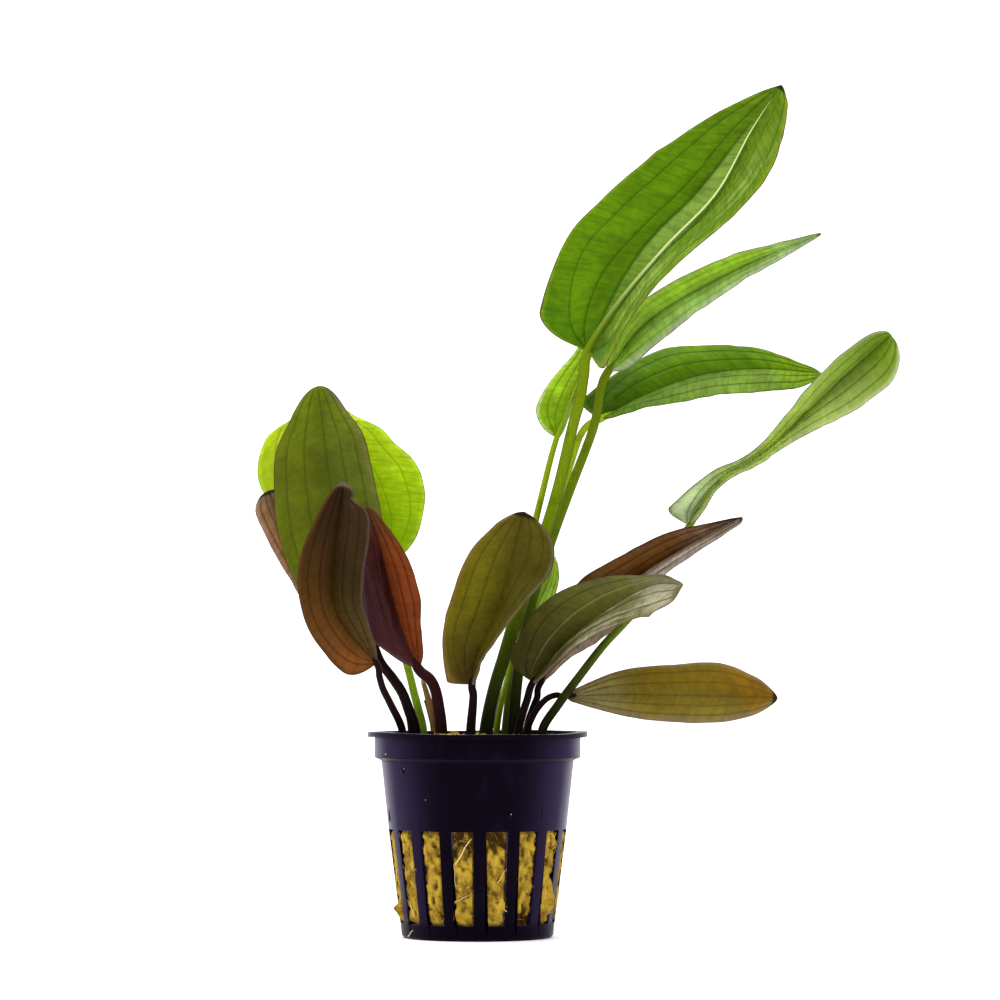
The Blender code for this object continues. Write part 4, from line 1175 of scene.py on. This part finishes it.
def pot_tree():
    """Turns the wall's profile about the upright axis and cuts the slots and the drain slots through it."""
    tree, given = geometry_group("slotted_pot", Steps="Int", Spin="Float", Slot="Object", Slots="Int",
                                 First="Float", Drain="Object", Drains="Int", Plastic="Material")
    profile = node(tree, "GeometryNodeMeshToCurve", {"Mesh": given["Geometry"]})
    turn = {"Resolution": given["Steps"], "Radius": given["Spin"]}
    body = swept_along(node(tree, "GeometryNodeCurvePrimitiveCircle", turn), profile)
    body = node(tree, "GeometryNodeMergeByDistance", {"Geometry": body, "Distance": MERGE_DISTANCE})
    for cutter, first in (("Slot", given["First"]), ("Drain", 0.0)):
        meshes = {"Mesh 1": body, "Mesh 2": ring_of(given[cutter], given[cutter + "s"], first)}
        body = node(tree, "GeometryNodeMeshBoolean", meshes, operation="DIFFERENCE", solver="EXACT")
    plastic = skinned(body, given["Plastic"])
    return end_group(tree, Geometry=node(tree, "GeometryNodeRealizeInstances", {0: plastic}))


def marks_tree():
    """Sets a ball on each marked point, as wide and as tall as the point says, and joins them to the pot."""
    tree, given = geometry_group("marks", Marks="Object", Radius="Float", Skin="Material")
    ball = node(tree, "GeometryNodeMeshUVSphere", {"Segments": 16, "Rings": 10, "Radius": given["Radius"]})
    wide, tall = stored(tree, "wide"), stored(tree, "tall")
    balls = node(tree, "GeometryNodeInstanceOnPoints", {
        "Points": shape_of(given["Marks"]),
        "Instance": skinned(ball, given["Skin"]),
        "Scale": combined(tree, X=wide, Y=wide, Z=tall),
    })
    return end_group(tree, Geometry=joined(balls, given["Geometry"]))


def mark_points():
    """An object with a point, half sunk in the pot's surface, for each mark."""
    angle, height, wide, tall, pale = np.array(MARKS).T
    angle, height = np.radians(angle), height * MM
    radius = np.where(height > COLLAR_FOOT, COLLAR_RADIUS, pot_radius(height)) - wide * MM / 4
    points = np.stack([radius * np.cos(angle), radius * np.sin(angle), height], axis=-1)
    return add_object("mark_points", points, wide=wide, tall=tall, pale=pale)


def wave_lip(mesh):
    """Lets the lip rise and dip a little, as a thin moulded lip does."""
    places = np.empty(3 * len(mesh.vertices), np.float32)
    mesh.vertices.foreach_get("co", places)
    places = places.reshape(-1, 3)
    angle = np.arctan2(places[:, 1], places[:, 0])
    on_lip = places[:, 2] > LIP_FOOT - POT_EDGE
    places[:, 2] += on_lip * LIP_WAVE * (np.sin(2 * angle + 0.7) + 0.6 * np.sin(5 * angle + 2))
    mesh.vertices.foreach_set("co", places.ravel())


def make_pot():
    profile = pot_profile()
    points = [(radius - SPIN_RADIUS, -height, 0) for radius, height in profile]
    edges = [(number, (number + 1) % len(profile)) for number in range(len(profile))]
    pot = add_object("slotted_pot", points, edges)
    slot, drain = box_object("slot_block", slot_corner), box_object("drain_block", drain_corner)
    shaped(pot, pot_tree(), Steps=POT_STEPS, Spin=SPIN_RADIUS, Slot=slot, Slots=SLOT_COUNT,
           First=FIRST_SLOT, Drain=drain, Drains=DRAIN_COUNT, Plastic=pot_material())
    wave_lip(pot.data)
    marks = mark_points()
    shaped(pot, marks_tree(), Marks=marks, Radius=MM / 2, Skin=mark_material())
    remove(slot, drain, marks)
    turned_out(pot.data)
    bevel = pot.modifiers.new("worn_edges", "BEVEL")
    bevel.width = POT_EDGE
    bevel.segments = 2
    bevel.limit_method = "ANGLE"
    bevel.angle_limit = EDGE_ANGLE
    pot.data.shade_smooth()
    pot.data.set_sharp_from_angle(angle=EDGE_ANGLE)
    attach(pot, "root")
    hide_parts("pot")


def slot_share(angle, height):
    """1 in the middle of a slot, 0 behind a rib, above and below the slots."""
    pitch = TURN / SLOT_COUNT
    off = np.abs((angle - FIRST_SLOT + pitch / 2) % pitch - pitch / 2)
    beside = np.clip((SLOT_ANGLE / 2 - off) / (SLOT_ANGLE * 0.08), 0, 1)
    below = np.clip((SLOT_TOP - height) / SWELL_EDGE, 0, 1)
    above = np.clip((height - SLOT_BOTTOM) / SWELL_EDGE, 0, 1)
    return np.sin(beside * math.pi / 2) * below * above


def wool_path():
    """Radii and heights down the plug, from the middle of its top to the middle of its underside."""
    edge_radius = COLLAR_RADIUS - WALL - WOOL_CLEAR
    knots = np.array([
        (WOOL_POLE, WOOL_CROWN_HEIGHT),
        (COLLAR_RADIUS * 0.6, WOOL_CROWN_HEIGHT),
        (edge_radius, WOOL_EDGE_HEIGHT),
        (edge_radius, COLLAR_FOOT + WOOL_CLEAR),
        (BODY_TOP_RADIUS - WALL - WOOL_CLEAR, BODY_TOP),
        (pot_radius(SLOT_SHOULDER) - WALL - WOOL_CLEAR, SLOT_SHOULDER + WOOL_CLEAR),
        (pot_radius(SLOT_TOP) - RIB_WALL - WOOL_CLEAR, SLOT_TOP),
        (pot_radius(FLOOR) - RIB_WALL - WOOL_CLEAR, FLOOR + WOOL_CLEAR),
        (WOOL_POLE, FLOOR + WOOL_CLEAR),
    ])
    return points_at(knots, np.linspace(0, lengths_along(knots)[-1], WOOL_RINGS)).T


def lumps(u, v, sizes):
    """Waves of several sizes, each given by its height, its lengths along u and v and its seed."""
    return sum(height * ripple(u / first, v / second, seed) for height, first, second, seed in sizes)


def wool_points():
    """The wool's surface, lumpy on top and swollen into the slots, where it shows, and its ups and downs."""
    radii, heights = wool_path()
    angle = np.linspace(0, TURN, WOOL_STEPS, endpoint=False)[None, :]
    radius, height = radii[:, None] + 0 * angle, heights[:, None] + 0 * angle
    x, y, round_ = radius * np.cos(angle), radius * np.sin(angle), angle * FOOT_RADIUS
    rise = lumps(round_, height, SLOT_LUMPS)
    lift = 0
    for turn, level, reach, amount in WOOL_BULGES:
        aside = ((angle - math.radians(turn) + math.pi) % TURN - math.pi) * radius
        lift = lift + amount * np.exp(-((aside / MM) ** 2 + (height / MM - level) ** 2) / reach**2)
    side = (height < SLOT_TOP + 2 * MM) & (height > FLOOR + 1 * MM) & (radius > FOOT_RADIUS * 0.7)
    shows = slot_share(angle, height) * side
    swollen = radius + shows * (WOOL_SWELL + WOOL_LUMP * rise + lift * MM)
    top = np.clip((height - (WOOL_EDGE_HEIGHT - TOP_FADE)) / TOP_FADE, 0, 1)
    hills = lumps(x, y, TOP_LUMPS)
    heap = 0
    for centre_x, centre_y, reach, amount in WOOL_HEAPS:
        heap = heap + amount * np.exp(-((x / MM - centre_x) ** 2 + (y / MM - centre_y) ** 2) / reach**2)
    height = height + top * (hills * TOP_RELIEF - TOP_SINK + heap) * MM
    points = np.stack([swollen * np.cos(angle), swollen * np.sin(angle), height], axis=-1)
    return points, np.maximum(shows > 0.15, top > 0.5), np.where(side, rise + lift, hills + heap)


def wool_tree():
    """Scatters curved fibres over the places where the wool shows."""
    tree, given = geometry_group("wool_fibres", Density="Float", Length="Float", Radius="Float",
                                 Seed="Int", Fibre="Material")
    half, bend = given["Length"] * 0.5, given["Length"] * 0.3
    strand = node(tree, "GeometryNodeCurveQuadraticBezier", {
        "Resolution": 4,
        "Start": combined(tree, X=half * -1.0),
        "Middle": combined(tree, Y=bend, Z=bend),
        "End": combined(tree, X=half),
    })
    outline = node(tree, "GeometryNodeCurvePrimitiveCircle", {"Resolution": 3, "Radius": given["Radius"]})
    amount = stored(tree, "shows") * given["Density"] * PER_SQUARE_MM
    spread = node(tree, "GeometryNodeDistributePointsOnFaces",
                  {"Mesh": given["Geometry"], "Density": amount, "Seed": given["Seed"]})
    tilts = {"Min": (-0.5, -0.5, 0), "Max": (0.5, 0.5, TURN), "Seed": given["Seed"]}
    tilt = node(tree, "FunctionNodeRandomValue", tilts, data_type="FLOAT_VECTOR")
    turned = node(tree, "FunctionNodeRotateRotation",
                  {"Rotation": spread.beside("Rotation"), "Rotate By": tilt}, rotation_space="LOCAL")
    fibres = node(tree, "GeometryNodeInstanceOnPoints", {
        "Points": spread,
        "Instance": skinned(swept_along(strand, outline), given["Fibre"]),
        "Rotation": turned,
        "Scale": node(tree, "FunctionNodeRandomValue", {2: 0.4, 3: 1.4}, 1, data_type="FLOAT"),
    })
    return end_group(tree, Geometry=joined(fibres, given["Geometry"]))


def root_places():
    """The front's roots, and one in most slots round the sides and back."""
    random = np.random.default_rng(11)
    yield from FRONT_ROOTS
    for number in range(3, SLOT_COUNT - 2):
        middle = math.degrees(FIRST_SLOT) + number * 360 / SLOT_COUNT
        low, tall, lean = random.uniform(5, 17), random.uniform(3, 7), random.uniform(-5, 5)
        yield (middle - lean, low), (middle + lean, low + tall), random.uniform(0.2, 0.4)


def root_route():
    """The roots' middle lines on the pot's outer surface, each with a slight wave."""
    shares = np.linspace(0, 1, ROOT_STEPS)
    lines, radii = [], []
    for (first, low), (last, high), width in root_places():
        angle = np.radians(first + (last - first) * shares + ROOT_WAVE * np.sin(TURN * shares))
        height = (low + (high - low) * shares) * MM
        radius = pot_radius(height)
        lines.append(np.stack([radius * np.cos(angle), radius * np.sin(angle), height], axis=-1))
        radii.append(width / 2 * MM * (1 - 0.5 * shares))
    along = np.tile(shares, len(lines))
    return line_object("root_route", np.concatenate(lines), np.concatenate(radii), along)


def make_wool(stalk):
    points, shows, rise = wool_points()
    rings, steps, _ = points.shape
    index = np.arange(rings * steps).reshape(rings, steps)
    after = np.roll(index, -1, axis=1)
    quads = np.stack([index[:-1], index[1:], after[1:], after[:-1]], axis=-1).reshape(-1, 4).tolist()
    poles = [index[0].tolist(), index[-1, ::-1].tolist()]
    wool = add_object("rock_wool_plug", points.reshape(-1, 3), (), quads + poles, wool_material(),
                      shows=shows.ravel().astype(float), rise=rise.ravel())
    turned_out(wool.data)
    wool.data.shade_smooth()
    shaped(wool, wool_tree(), Density=FIBRE_DENSITY, Length=FIBRE_LENGTH, Radius=FIBRE_RADIUS,
           Seed=FIBRE_SEED, Fibre=fibre_material())
    add_stalk(wool, root_route(), stalk, root_material())
    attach(wool, "root")
    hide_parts("rock_wool")


def linked(name, data):
    obj = bpy.data.objects.new(name, data)
    bpy.context.scene.collection.objects.link(obj)
    return obj


def make_camera():
    """Stands 1.125 m in front of the pot, 75 mm up, and looks 109 mm up the plant."""
    data = bpy.data.cameras.new("camera")
    data.sensor_width = CAMERA_SENSOR
    data.lens = CAMERA_LENS
    camera = linked("camera", data)
    camera.location = CAMERA_PLACE
    camera.rotation_euler = (math.pi / 2 + CAMERA_TILT, 0, 0)
    bpy.context.scene.camera = camera


def make_light():
    """Pale all round, a little dimmer from where the viewer stands, with a wide soft lamp overhead."""
    world = bpy.data.worlds.new("studio")
    bpy.context.scene.world = world
    world.use_nodes = True
    tree = world.node_tree
    background = tree.nodes["Background"].inputs
    way = node(tree, "ShaderNodeTexCoord", None, "Generated")
    front = node(tree, "ShaderNodeVectorMath", {0: way, 1: DIM_WAY}, "Value", operation="DOT_PRODUCT")
    lit = eased(front, 0.2, 0.75, WORLD_STRENGTH, FRONT_STRENGTH)
    seen = node(tree, "ShaderNodeLightPath", None, "Is Camera Ray")
    fill(background["Strength"], maths("MAXIMUM", lit, seen * BACKDROP_STRENGTH))
    fill(background["Color"], (1, 1, 1, 1))
    data = bpy.data.lights.new("overhead", "AREA")
    data.shape = "DISK"
    data.size = LAMP_SIZE
    data.energy = LAMP_POWER
    linked("overhead", data).location = LAMP_PLACE


def make_floor():
    corners = [(x * GROUND_REACH, y * GROUND_REACH, 0) for x, y in ((-1, -1), (1, -1), (1, 1), (-1, 1))]
    material = coated(new_material("white_floor")[0], GROUND_COLOUR, 0.5)
    floor = add_object("floor", corners, (), [(0, 1, 2, 3)], material)
    floor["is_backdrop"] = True


def main():
    bpy.context.scene.view_settings.view_transform = "Standard"
    make_camera()
    make_light()
    make_floor()
    make_pot()
    colours, tree = leaf_colour_group(), stalk_tree()
    make_wool(tree)
    for seed, (name, leaf) in enumerate(LEAVES.items()):
        make_leaf(name, {**USUAL_LEAF, **leaf}, TINTS[name], tree, colours, 20 * seed)
    make_stub(tree)


main()
boxes = {"cad": CAD_BOX, "visual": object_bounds()}
{name: [list(map(float, corner)) for corner in box] for name, box in boxes.items()}
